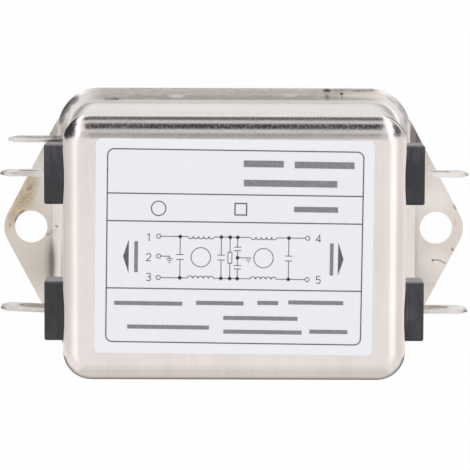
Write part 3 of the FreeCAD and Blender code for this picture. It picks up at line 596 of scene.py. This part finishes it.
def woven(name, colour, dark, per_metre, roughness):
    """Laminate or pressed board with the weave of its filler showing faintly."""
    material, tree, shader = blank_material(name)
    place = node(tree, "Mapping", {"Vector": on_object(tree), "Scale": (per_metre, per_metre, 0)})
    inputs = {"Vector": place.outputs["Vector"], "Scale": 1.0, "Distortion": 1.5}
    threads = [node(tree, "TexWave", inputs, bands_direction=letter).outputs["Fac"] for letter in "XY"]
    weave = times(tree, *threads)
    mixed = blend(tree, span(tree, weave, 0.1, 0.9, 0.0, THREAD_SHARE), colour, dark)
    set_inputs(tree, shader, Base_Color=mixed, Roughness=roughness, Normal=bump(tree, weave, *WEAVE_RELIEF))
    return material


def label_stock():
    """Pale label stock with a soft satin coat, a little greyer inside the printed frame."""
    material, tree, shader = blank_material("label_stock")
    fibres = noise(tree, PAPER_FIBRES)
    clouds = noise(tree, PAPER_CLOUDS)
    tone = add(tree, span(tree, clouds, 0.3, 0.75, 0.0, PAPER_CLOUD_TONE),
               span(tree, fibres, 0.3, 0.8, 0.0, FIBRE_TONE))
    colour = blend(tree, add(tree, tone, times(tree, framed(tree), FRAMED_TONE)), PAPER, PAPER_SHADE)
    set_inputs(tree, shader, Base_Color=colour, Roughness=span(tree, clouds, 0.3, 0.7, *PAPER_ROUGHNESS),
               Normal=bump(tree, fibres, *PAPER_RELIEF))
    return material


def framed(tree):
    """1 inside the printed frame of the label and 0 outside it."""
    scale = (FRAME_LENGTH / 2 * MM, FRAME_WIDTH / 2 * MM, 1)
    local = node(tree, "SeparateXYZ", {0: turned_about(tree, (*PRINT_MIDDLE, 0), PRINT_TURN, scale)})
    reach = [calculate(tree, "ABSOLUTE", local.outputs[letter]) for letter in "XY"]
    return span(tree, calculate(tree, "MAXIMUM", *reach), 0.99, 1.0, 1.0, 0.0)


def ink(name, dark, faded):
    """Printing ink that lies a little unevenly on the paper."""
    material, tree, shader = blank_material(name)
    patches = noise(tree, INK_PATCHES)
    colour = blend(tree, span(tree, patches, 0.4, 0.75), dark, faded)
    set_inputs(tree, shader, Base_Color=colour, Roughness=INK_ROUGHNESS,
               Normal=bump(tree, patches, *INK_RELIEF))
    return material


def dress_nodes(frame):
    """Gives every carried-over node its material."""
    by_slot = {
        "can_steel": can_steel(),
        "plate_steel": plate_steel(),
        "terminal_metal": tinned("tinned_brass", TIN, TIN_SHADE, BLADE_STREAKS, BLADE_MARKS),
        "earth_metal": tinned("tinned_steel", TAB_TIN, TAB_SHADE, TAB_STREAKS, TAB_MARKS),
        "insulator_plastic": moulded("black_plastic", BLACK_PLASTIC, BLACK_PLASTIC_DUST, 0.42, 1500,
                                     BLACK_PLASTIC_PAINTED_SHEEN, block_marks()),
        LABEL_SLOT: label_stock(),
    }
    by_slot.update({slot: moulded(*values) for slot, values in MOULDED.items()})
    by_slot.update({slot: woven(*values) for slot, values in WOVEN.items()})
    by_slot.update({slot: enamelled(*values) for slot, values in ENAMELLED.items()})
    slots = {part["node"]: part["material_slot"] for part in frame["record"]["subparts"]}
    for name, thing in frame["nodes"].items():
        thing.data.materials.clear()
        thing.data.materials.append(by_slot[slots[name]])


# The print on the label

# Steps of a ring, of a dot, and of a corner or a half round of a coil
RING_STEPS = 40
DOT_STEPS = 20
ARC_STEPS = 8
# Limit of a mitre, as the cosine of half of the turn
MITRE_LIMIT = 0.3


def arc(x, y, radius, start, end, steps):
    """Points of an arc round a middle, from one turn to another."""
    turns = [math.radians(start + (end - start) * k / steps) for k in range(steps + 1)]
    return [(x + radius * math.cos(turn), y + radius * math.sin(turn)) for turn in turns]


def rectangle(x_low, x_high, y_low, y_high):
    return [(x_low, y_low), (x_high, y_low), (x_high, y_high), (x_low, y_high)]


class Print:
    """Flat shapes gathered into one mesh, in millimetres from the middle of the printed frame."""

    def __init__(self):
        self.mesh = bmesh.new()

    def polygon(self, points):
        self.mesh.faces.new([self.mesh.verts.new((x * MM, y * MM, 0.0)) for x, y in points])

    def stroke(self, points, width=FINE_LINE, closed=False):
        """A line of one width through points, mitred at each turn."""
        path = [Vector(point) for point in points]
        count = len(path)
        sides = []
        for k, point in enumerate(path):
            before = path[k - 1] if closed or k > 0 else None
            after = path[(k + 1) % count] if closed or k < count - 1 else None
            runs = [(b - a).normalized() for a, b in ((before, point), (point, after)) if a and b]
            normals = [Vector((-run.y, run.x)) for run in runs]
            aside = sum(normals, Vector((0, 0))).normalized()
            aside *= width / 2 / max(MITRE_LIMIT, aside.dot(normals[0]))
            sides.append((point + aside, point - aside))
        following = sides[1:] + sides[:1] if closed else sides[1:]
        for (left, right), (next_left, next_right) in zip(sides, following):
            self.polygon([right, next_right, next_left, left])

    def ring(self, x, y, radius, width=FINE_LINE):
        self.stroke(arc(x, y, radius, 0, 360, RING_STEPS)[:-1], width, closed=True)

    def disc(self, x, y, radius):
        self.polygon(arc(x, y, radius, 0, 360, DOT_STEPS)[:-1])

    def piece(self, name, material):
        """Makes one thin piece on the label out of the gathered shapes."""
        bmesh.ops.recalc_face_normals(self.mesh, faces=self.mesh.faces)
        for face in self.mesh.faces:
            if face.normal.z < 0:
                face.normal_flip()
        data = bpy.data.meshes.new(name)
        self.mesh.to_mesh(data)
        self.mesh.free()
        data.materials.append(material)
        made = bpy.data.objects.new(name, data)
        bpy.context.scene.collection.objects.link(made)
        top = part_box("label")[1].z
        middle = Vector((PRINT_MIDDLE[0] * MM, PRINT_MIDDLE[1] * MM, top + PRINT_RISE * MM))
        data.transform(Matrix.Translation(middle) @ Matrix.Rotation(math.radians(PRINT_TURN), 4, "Z"))
        solid = made.modifiers.new("thickness", "SOLIDIFY")
        solid.thickness = PRINT_THICKNESS * MM
        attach(made, BODY)


def print_frame(material):
    """The round-cornered frame of the label and the lines that divide it."""
    drawing = Print()
    half_length, half_width = FRAME_LENGTH / 2, FRAME_WIDTH / 2
    points = []
    for x, y, start in ((1, 1, 0), (-1, 1, 90), (-1, -1, 180), (1, -1, 270)):
        points += arc(x * (half_length - FRAME_CORNER), y * (half_width - FRAME_CORNER), FRAME_CORNER,
                      start, start + 90, ARC_STEPS)
    drawing.stroke(points, FRAME_LINE, closed=True)
    for level in DIVIDERS:
        drawing.stroke([(-half_length, level), (half_length, level)], FRAME_LINE)
    drawing.piece("label_frame_lines", material)


# Circuit diagram: levels of its wires, and places of its symbols along them
TOP_WIRE = 1.72
MIDDLE_WIRE = -1.85
BOTTOM_WIRE = -5.48
LEFT_TERMINAL = -13.12
RIGHT_TERMINAL = 12.65
CHOKES = (-5.8, 5.05)
X_CAPACITORS = (-9.4, -2.28, 9.4)
RESISTOR_PLACE = -0.76
Y_CAPACITORS = 0.55
EARTH_PLACE = 2.45
# Levels of the two Y capacitors, level of the earth terminal, and where its wire turns down and ends
UPPER_Y_LEVEL = -0.3
LOWER_Y_LEVEL = -3.5
EARTH_TERMINAL_LEVEL = MIDDLE_WIRE + 0.1
EARTH_TURN = -11.2
EARTH_TURN_END = MIDDLE_WIRE - 0.3
# Sizes of the symbols
TERMINAL_RING = 0.36
NODE_DOT = 0.33
CHOKE_REACH = 2.25
CHOKE_RING = 1.68
COIL_BUMPS = 5
COIL_FLATNESS = 0.8
PLATE_HALF = 0.62
X_GAP = 0.85
Y_GAP = 0.6
RESISTOR_HALF_WIDTH = 0.34
RESISTOR_HALF_HEIGHT = 0.95
EARTH_HALVES = (0.55, 0.36, 0.16)
EARTH_STEP = 0.36
# Arrowheads: places of tip and base, and half of the height
ARROWHEADS = ((-19.26, -18.28), (18.91, 17.95))
ARROWHEAD_HALF = 2.92


def coil(drawing, x_mid, level, side):
    """A wire with a row of half rounds above it (1) or below it (-1), which stands for one winding."""
    radius = CHOKE_REACH / COIL_BUMPS
    points = []
    for k in range(COIL_BUMPS):
        centre = x_mid - CHOKE_REACH + radius * (2 * k + 1)
        points += [(x, level + side * (y - level) * COIL_FLATNESS)
                   for x, y in arc(centre, level, radius, 180, 0, ARC_STEPS)]
    drawing.stroke(points)


def capacitor(drawing, x, low, high, level, gap):
    """Two plates with a gap between them, in an upright wire."""
    drawing.stroke([(x, low), (x, level - gap / 2)])
    drawing.stroke([(x, level + gap / 2), (x, high)])
    for y in (level - gap / 2, level + gap / 2):
        drawing.stroke([(x - PLATE_HALF, y), (x + PLATE_HALF, y)])


def resistor(drawing, x, low, high, level):
    """A box in an upright wire."""
    foot, head = level - RESISTOR_HALF_HEIGHT, level + RESISTOR_HALF_HEIGHT
    drawing.stroke([(x, high), (x, head)])
    drawing.stroke([(x, foot), (x, low)])
    box = rectangle(x - RESISTOR_HALF_WIDTH, x + RESISTOR_HALF_WIDTH, foot, head)
    drawing.stroke(box, closed=True)


def earth_sign(drawing, x, y):
    """Three level lines, each shorter than the one above."""
    for k, half in enumerate(EARTH_HALVES):
        level = y - EARTH_STEP * k
        drawing.stroke([(x - half, level), (x + half, level)])


def print_circuit(material):
    """The filter's circuit diagram in common symbols."""
    drawing = Print()
    stops = [LEFT_TERMINAL + TERMINAL_RING]
    for x_mid in CHOKES:
        stops += [x_mid - CHOKE_REACH, x_mid + CHOKE_REACH]
    stops.append(RIGHT_TERMINAL - TERMINAL_RING)
    for level, side in ((TOP_WIRE, -1), (BOTTOM_WIRE, 1)):
        for start, end in zip(stops[::2], stops[1::2]):
            drawing.stroke([(start, level), (end, level)])
        for x_mid in CHOKES:
            coil(drawing, x_mid, level, side)
        for x in (*X_CAPACITORS, RESISTOR_PLACE, Y_CAPACITORS):
            drawing.disc(x, level, NODE_DOT)
        for x in (LEFT_TERMINAL, RIGHT_TERMINAL):
            drawing.ring(x, level, TERMINAL_RING)
    for x_mid in CHOKES:
        drawing.ring(x_mid, MIDDLE_WIRE, CHOKE_RING)
    for x in X_CAPACITORS:
        capacitor(drawing, x, BOTTOM_WIRE, TOP_WIRE, MIDDLE_WIRE, X_GAP)
    resistor(drawing, RESISTOR_PLACE, BOTTOM_WIRE, TOP_WIRE, MIDDLE_WIRE)
    capacitor(drawing, Y_CAPACITORS, MIDDLE_WIRE, TOP_WIRE, UPPER_Y_LEVEL, Y_GAP)
    capacitor(drawing, Y_CAPACITORS, BOTTOM_WIRE, MIDDLE_WIRE, LOWER_Y_LEVEL, Y_GAP)
    drawing.disc(Y_CAPACITORS, MIDDLE_WIRE, NODE_DOT)
    drawing.stroke([(Y_CAPACITORS, MIDDLE_WIRE), (EARTH_PLACE, MIDDLE_WIRE)])
    earth_sign(drawing, EARTH_PLACE, MIDDLE_WIRE)
    drawing.ring(LEFT_TERMINAL, EARTH_TERMINAL_LEVEL, TERMINAL_RING)
    drawing.stroke([(stops[0], EARTH_TERMINAL_LEVEL), (EARTH_TURN, EARTH_TERMINAL_LEVEL),
                    (EARTH_TURN, EARTH_TURN_END)])
    earth_sign(drawing, EARTH_TURN, EARTH_TURN_END)
    for tip, base in ARROWHEADS:
        drawing.polygon([(tip, MIDDLE_WIRE), (base, MIDDLE_WIRE - ARROWHEAD_HALF),
                         (base, MIDDLE_WIRE + ARROWHEAD_HALF)])
    drawing.piece("label_circuit_lines", material)


# Plain bars stand where the label has words: left end, right end, middle height and bar height
WORD_BARS = (
    (1.4, 8.3, 14.5, 1.15), (10.2, 20.5, 14.42, 1.15), (1.45, 17.6, 11.15, 1.15),
    (10.2, 17.8, 6.7, 0.95),
    (-20.7, -8.9, -10.0, 0.7), (-6.5, 1.7, -9.8, 0.7), (4.1, 7.7, -9.65, 0.7), (9.45, 19.0, -9.5, 0.7),
    (-1.75, 11.1, -12.35, 0.7), (-18.4, -4.2, -14.1, 0.7),
    (-1.7, 11.85, -14.75, 0.7), (13.2, 19.8, -14.55, 0.7),
)
# Upright bars beside the arrowheads: middle, low end, high end
SIDE_BARS = ((-17.0, -4.6, 0.8), (16.85, -4.7, 0.9))
SIDE_BAR_WIDTH = 0.62


def print_bars(material):
    """Plain bars in the rows of the label that are meant for words."""
    drawing = Print()
    for left, right, level, height in WORD_BARS:
        drawing.polygon(rectangle(left, right, level - height / 2, level + height / 2))
    for middle, low, high in SIDE_BARS:
        drawing.polygon(rectangle(middle - SIDE_BAR_WIDTH / 2, middle + SIDE_BAR_WIDTH / 2, low, high))
    drawing.piece("label_bars", material)


# Plain shapes in the second row of the label: middle, size and width of the line
RING_PLACE = (-13.2, 6.55)
RING_RADIUS = 1.25
RING_LINE = 0.18
SQUARE_PLACE = (1.0, 6.6)
SQUARE_HALF = 1
SQUARE_LINE = 0.22


def print_shapes(material):
    """A ring and a square in the second row."""
    drawing = Print()
    drawing.ring(*RING_PLACE, RING_RADIUS, RING_LINE)
    x, y = SQUARE_PLACE
    square = rectangle(x - SQUARE_HALF, x + SQUARE_HALF, y - SQUARE_HALF, y + SQUARE_HALF)
    drawing.stroke(square, SQUARE_LINE, closed=True)
    drawing.piece("label_shapes", material)


# Strokes of the plain numbers, in parts of their height
NUMBER_STROKES = {
    1: (((0.1, 0.8), (0.35, 1.0), (0.35, 0.0)),),
    2: (((0.0, 0.8), (0.15, 1.0), (0.45, 1.0), (0.6, 0.8), (0.6, 0.62), (0.0, 0.0), (0.62, 0.0)),),
    3: (((0.0, 0.95), (0.15, 1.0), (0.5, 1.0), (0.6, 0.8), (0.5, 0.55), (0.25, 0.52)),
        ((0.25, 0.52), (0.5, 0.5), (0.62, 0.25), (0.5, 0.0), (0.12, 0.0), (0.0, 0.1))),
    4: (((0.5, 0.0), (0.5, 1.0), (0.0, 0.3), (0.65, 0.3)),),
    5: (((0.6, 1.0), (0.08, 1.0), (0.04, 0.55), (0.45, 0.6), (0.6, 0.4), (0.6, 0.2), (0.45, 0.0),
         (0.0, 0.05)),),
}
# Height, width of the line, and each number with its left end and middle height
NUMBER_HEIGHT = 1.25
NUMBER_LINE = 0.14
NUMBER_PLACES = ((1, -15.2, 1.5), (2, -15.2, -1.95), (3, -15.2, -5.4), (4, 14.1, 1.65), (5, 14.2, -5.5))


def print_numbers(material):
    """Plain numbers beside the terminals of the diagram."""
    drawing = Print()
    for number, x, y in NUMBER_PLACES:
        for strokes in NUMBER_STROKES[number]:
            points = [(x + u * NUMBER_HEIGHT, y + (v - 0.5) * NUMBER_HEIGHT) for u, v in strokes]
            drawing.stroke(points, NUMBER_LINE)
    drawing.piece("label_numbers", material)


# Studio

# Brightness of the surroundings in soft light, and where they are seen
WORLD_SOFT_LIGHT = 0.88
WORLD_SEEN = 1.0
# Floor: side in metres, share of plain white, looks, and how far it is below the part
FLOOR_SIZE = 4.0
FLOOR_WHITENESS = 0.96
FLOOR_COLOUR = (0.95, 0.95, 0.95)
FLOOR_SHADE = (0.88, 0.88, 0.88)
FLOOR_SHADE_SHARE = 0.05
FLOOR_ROUGHNESS = 0.9
FLOOR_SHINE = 0.1
FLOOR_DROP = 0.02
# Where the lamps point
LAMP_AIM = Vector((0, 0, 35))
# Start of the rays: level of the can's rounded edge, and how far out from a corner's centre
EDGE_LEVEL = 38.0
EDGE_OUT = 4.0
# Level of what lies on the floor, and steps along each side of a card
CARD_LEVEL = -0.01
CARD_STEPS = 12
# Tints of the cards
COOL = (1.0, 0.985, 1.05)
WARM = (1.0, 0.985, 0.955)
PALE_GREEN = (1.05, 1.08, 1.06)
# Lamps: azimuth, fall, distance, width, height, added radiance, and whether metal shows it
LAMPS = {
    "left_box": (-90, 54, 900, 700, 400, 0.27, True),
    "right_box": (90, 50, 900, 700, 500, 0.34, True),
    "key_box": (-25, 30, 1200, 700, 700, 0.8, False),
}
# Corners of the can from which the cards are set out
FAR_LEFT = (-CORNER_CENTRE[0], CORNER_CENTRE[1])
FAR_RIGHT = (CORNER_CENTRE[0], CORNER_CENTRE[1])
NEAR_LEFT = (-CORNER_CENTRE[0], -CORNER_CENTRE[1])
NEAR_RIGHT = (CORNER_CENTRE[0], -CORNER_CENTRE[1])
# Cards: corners from which they start, rows of a fall with its two azimuths, distance, grey, tint
CARDS = {
    "ceiling_card": ((FAR_LEFT, FAR_RIGHT), ((4, -26, 22), (25, -24, 20)), 520, 0.31, PALE_GREEN),
    "upper_card": ((FAR_LEFT, FAR_RIGHT), ((25, -24, 20), (46, -23, 19)), 515, 0.72, PALE_GREEN),
    "far_card": ((FAR_LEFT, FAR_RIGHT), ((46, -23, 19), (79, -22, 17)), 500, 0.03, COOL),
    "horizon_card": ((FAR_LEFT, FAR_RIGHT), ((79, -22, 17), (101, -21, 16)), 505, 0.8, COOL),
    "low_card": ((FAR_LEFT, FAR_RIGHT), ((101, -21, 15), (131, -20, 14)), 500, 0.135, COOL),
    "left_shade_card": ((FAR_LEFT, FAR_LEFT), ((3, -74, -22), (44, -56, -22)), 525, 0.66, COOL),
    "right_shade_card": ((FAR_RIGHT, FAR_RIGHT), ((3, 18, 70), (40, 18, 54)), 525, 0.66, COOL),
    "left_corner_card": ((FAR_LEFT, FAR_LEFT),
                         ((66, -60, -70), (84, -50, -78), (100, -43, -80), (130, -37, -82), (174, -30, -84)),
                         400, 0.03, COOL),
    "left_corner_glow": ((FAR_LEFT, FAR_LEFT),
                         ((44, -56, -76), (60, -42, -62), (84, -34, -49), (100, -30, -42), (130, -24, -36),
                          (160, -20, -30)),
                         420, 1.9, COOL),
    "right_corner_card": ((FAR_RIGHT, FAR_RIGHT), ((60, 60, 66), (75, 54, 70), (98, 38, 75), (128, 44, 62)),
                          400, 0.1, COOL),
    "right_corner_glow": ((FAR_RIGHT, FAR_RIGHT),
                          ((40, 54, 76), (53, 42, 60), (75, 30, 52), (97, 20, 36), (140, 14, 26)),
                          420, 1.9, COOL),
    "right_edge_card": ((FAR_RIGHT, FAR_RIGHT), ((148, 24, 82), (172, 24, 82)), 400, 0.08, COOL),
    "near_shade_card": ((NEAR_RIGHT, NEAR_LEFT), ((122, 110, 250), (139, 110, 250)), 400, 0.4, WARM),
    "near_edge_card": ((NEAR_RIGHT, NEAR_LEFT), ((139, 110, 250), (172, 110, 250)), 400, 0.09, WARM),
    "left_edge_card": ((NEAR_LEFT, FAR_LEFT), ((112, 262, 276), (160, 262, 276)), 400, 0.76, WARM),
    "left_side_card": ((NEAR_LEFT, FAR_LEFT), ((82, 255, 280), (112, 255, 280)), 430, 0.86, WARM),
    "right_side_card": ((FAR_RIGHT, NEAR_RIGHT), ((72, 80, 105), (110, 80, 105)), 430, 0.93, WARM),
    "front_soft_card": ((NEAR_RIGHT, NEAR_LEFT), ((38, 155, 205), (62, 155, 205)), 500, 0.9, WARM),
    "front_card": ((NEAR_RIGHT, NEAR_LEFT), ((62, 150, 210), (110, 150, 210)), 500, 0.8, WARM),
    "front_low_card": ((NEAR_RIGHT, NEAR_LEFT), ((110, 130, 230), (122, 130, 230)), 500, 0.72, WARM),
    "left_near_glow": ((NEAR_LEFT, NEAR_LEFT), ((42, 230, 249), (66, 230, 249)), 430, 1.2, WARM),
    "right_near_glow": ((NEAR_RIGHT, NEAR_RIGHT), ((42, 111, 130), (66, 111, 130)), 430, 1.2, WARM),
}
# Low strips close to the corners of the rim: corner, azimuths, inner and outer distance, height, grey
STRIPS = {
    "left_rim_strip": (FAR_LEFT, -38, -84, 9, 60, 28, 0.03),
    "right_rim_strip": (FAR_RIGHT, 28, 80, 50, 60, 7, 0.35),
}


def add_floor():
    """Pale floor that looks white and keeps the soft shadow of the object."""
    data = bpy.data.meshes.new("floor")
    shape = bmesh.new()
    bmesh.ops.create_grid(shape, x_segments=1, y_segments=1, size=FLOOR_SIZE / 2)
    shape.to_mesh(data)
    shape.free()
    floor = bpy.data.objects.new("floor", data)
    bpy.context.scene.collection.objects.link(floor)
    floor.location.z = -FLOOR_DROP * MM
    material, tree, shader = blank_material("floor_paper")
    grain = span(tree, noise(tree, FLOOR_GRAIN), 0.3, 0.7, 0.0, FLOOR_SHADE_SHARE)
    set_inputs(tree, shader, Base_Color=blend(tree, grain, FLOOR_COLOUR, FLOOR_SHADE),
               Roughness=FLOOR_ROUGHNESS, Specular_IOR_Level=FLOOR_SHINE)
    glow = node(tree, "Emission", {"Color": WHITE, "Strength": 1.0})
    share = times(tree, seen_rays(tree), FLOOR_WHITENESS)
    mixed = node(tree, "MixShader", {0: share, 1: shader.outputs["BSDF"], 2: glow.outputs["Emission"]})
    tree.links.new(mixed.outputs["Shader"], tree.nodes["Material Output"].inputs["Surface"])
    data.materials.append(material)


def seen_rays(tree):
    """1 for rays that show a thing to the camera, in glass or in metal, and 0 for soft light."""
    path = node(tree, "LightPath", {})
    seen = calculate(tree, "MAXIMUM", path.outputs["Is Camera Ray"], path.outputs["Is Glossy Ray"])
    return calculate(tree, "MAXIMUM", seen, path.outputs["Is Transmission Ray"])


def add_world():
    """White surroundings."""
    world = bpy.data.worlds.new("studio")
    bpy.context.scene.world = world
    world.use_nodes = True
    tree = world.node_tree
    strength = span(tree, seen_rays(tree), 0.0, 1.0, WORLD_SOFT_LIGHT, WORLD_SEEN)
    put(tree, strength, tree.nodes["Background"].inputs["Strength"])
    put(tree, WHITE, tree.nodes["Background"].inputs["Color"])


def ray(azimuth, fall):
    """A direction: azimuth from +Y towards +X and fall from straight up, in degrees."""
    around = math.radians(azimuth)
    down = math.radians(fall)
    return Vector((math.sin(down) * math.sin(around), math.sin(down) * math.cos(around), math.cos(down)))


def add_lamp(name, azimuth, fall, distance, width, height, radiance, in_metal):
    """Soft rectangular lamp, with the brightness that its face adds to what lies behind it."""
    light = bpy.data.lights.new(name, "AREA")
    light.shape = "RECTANGLE"
    light.size = width * MM
    light.size_y = height * MM
    light.energy = radiance * math.pi * light.size * light.size_y
    lamp = bpy.data.objects.new(name, light)
    bpy.context.scene.collection.objects.link(lamp)
    out = ray(azimuth, fall)
    turn = out.to_track_quat("Z", "Y").to_matrix().to_4x4()
    lamp.matrix_world = Matrix.Translation((LAMP_AIM + out * distance) * MM) @ turn
    lamp.visible_glossy = in_metal


def card_point(start, azimuth, fall, distance):
    """Where a ray from an edge of the can ends: in the air, or on the floor if it comes to it first."""
    around = math.radians(azimuth)
    edge = Vector((*start, EDGE_LEVEL)) + Vector((math.sin(around), math.cos(around), 0)) * EDGE_OUT
    out = ray(azimuth, fall)
    reach = distance
    if out.z < 0:
        reach = min(reach, (EDGE_LEVEL - CARD_LEVEL) / -out.z)
    return (edge + out * reach) * MM


def between_rows(rows, fall):
    """The two azimuths of a card at one fall, from the rows that are given."""
    for (low, *first), (high, *second) in zip(rows, rows[1:]):
        if fall <= high:
            share = (fall - low) / (high - low)
            return [a + (b - a) * share for a, b in zip(first, second)]
    return list(rows[-1][1:])


def add_card(name, starts, rows, distance, grey, tint):
    """Card that only shows in reflections, bent like a backdrop round the start of the rays."""
    points = []
    for j in range(CARD_STEPS + 1):
        fall = rows[0][0] + (rows[-1][0] - rows[0][0]) * j / CARD_STEPS
        first, second = between_rows(rows, fall)
        for k in range(CARD_STEPS + 1):
            share = k / CARD_STEPS
            start = Vector(starts[0]).lerp(Vector(starts[1]), share)
            points.append(card_point(start, first + (second - first) * share, fall, distance))
    hang(name, points, grey, tint)


def add_strip(name, corner, first, second, inner, distance, height, grey):
    """Strip round a corner, only seen in reflections: flat on the floor, upright at its outer end."""
    points = []
    half = CARD_STEPS // 2
    for j in range(CARD_STEPS + 1):
        reach = inner + (distance - inner) * min(1, j / half)
        level = CARD_LEVEL + height * max(0, j - half) / half
        for k in range(CARD_STEPS + 1):
            around = math.radians(first + (second - first) * k / CARD_STEPS)
            x = corner[0] + math.sin(around) * reach
            y = corner[1] + math.cos(around) * reach
            points.append(Vector((x, y, level)) * MM)
    hang(name, points, grey, COOL)


def hang(name, points, grey, tint):
    """Makes a card from a square grid of points."""
    width = CARD_STEPS + 1
    faces = [(j * width + k, j * width + k + 1, (j + 1) * width + k + 1, (j + 1) * width + k)
             for j in range(CARD_STEPS) for k in range(CARD_STEPS)]
    data = bpy.data.meshes.new(name)
    data.from_pydata(points, [], faces)
    card = bpy.data.objects.new(name, data)
    bpy.context.scene.collection.objects.link(card)
    material, tree, shader = blank_material(name)
    glow = node(tree, "Emission", {"Color": [grey * part for part in tint], "Strength": 1.0})
    tree.links.new(glow.outputs["Emission"], tree.nodes["Material Output"].inputs["Surface"])
    data.materials.append(material)
    card.visible_camera = False
    card.visible_diffuse = False
    card.visible_transmission = False
    card.visible_shadow = False


def add_studio():
    add_floor()
    add_world()
    for name, values in LAMPS.items():
        add_lamp(name, *values)
    for name, values in CARDS.items():
        add_card(name, *values)
    for name, values in STRIPS.items():
        add_strip(name, *values)


def add_camera():
    """Camera at the place from which the object is seen, looking down at its front face."""
    data = bpy.data.cameras.new("camera")
    data.lens = CAMERA_LENS
    data.sensor_width = CAMERA_SENSOR
    data.clip_start, data.clip_end = CAMERA_CLIP
    camera = bpy.data.objects.new("camera", data)
    bpy.context.scene.collection.objects.link(camera)
    turn = Matrix.Identity(4)
    for axis, degrees in zip("XYZ", CAMERA_TURNS):
        turn = turn @ Matrix.Rotation(math.radians(degrees), 4, axis)
    camera.matrix_world = Matrix.Translation(Vector(CAMERA_PLACE) * MM) @ turn
    bpy.context.scene.camera = camera


def add_print():
    dark = ink("ink", INK, INK_FADED)
    pale = ink("pale_ink", PALE_INK, PALE_INK_FADED)
    print_frame(dark)
    print_circuit(dark)
    print_numbers(dark)
    print_shapes(dark)
    print_bars(pale)


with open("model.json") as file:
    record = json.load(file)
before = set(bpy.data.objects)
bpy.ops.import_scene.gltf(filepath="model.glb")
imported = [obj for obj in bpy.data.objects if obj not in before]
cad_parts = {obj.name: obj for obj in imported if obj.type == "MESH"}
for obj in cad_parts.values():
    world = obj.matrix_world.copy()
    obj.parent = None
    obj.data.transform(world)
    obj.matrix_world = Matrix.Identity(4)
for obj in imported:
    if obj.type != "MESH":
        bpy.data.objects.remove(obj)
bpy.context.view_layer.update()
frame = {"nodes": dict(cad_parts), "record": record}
bpy.context.scene.view_settings.view_transform = "Standard"
dress_nodes(frame)
add_print()
add_studio()
add_camera()
bpy.context.view_layer.update()
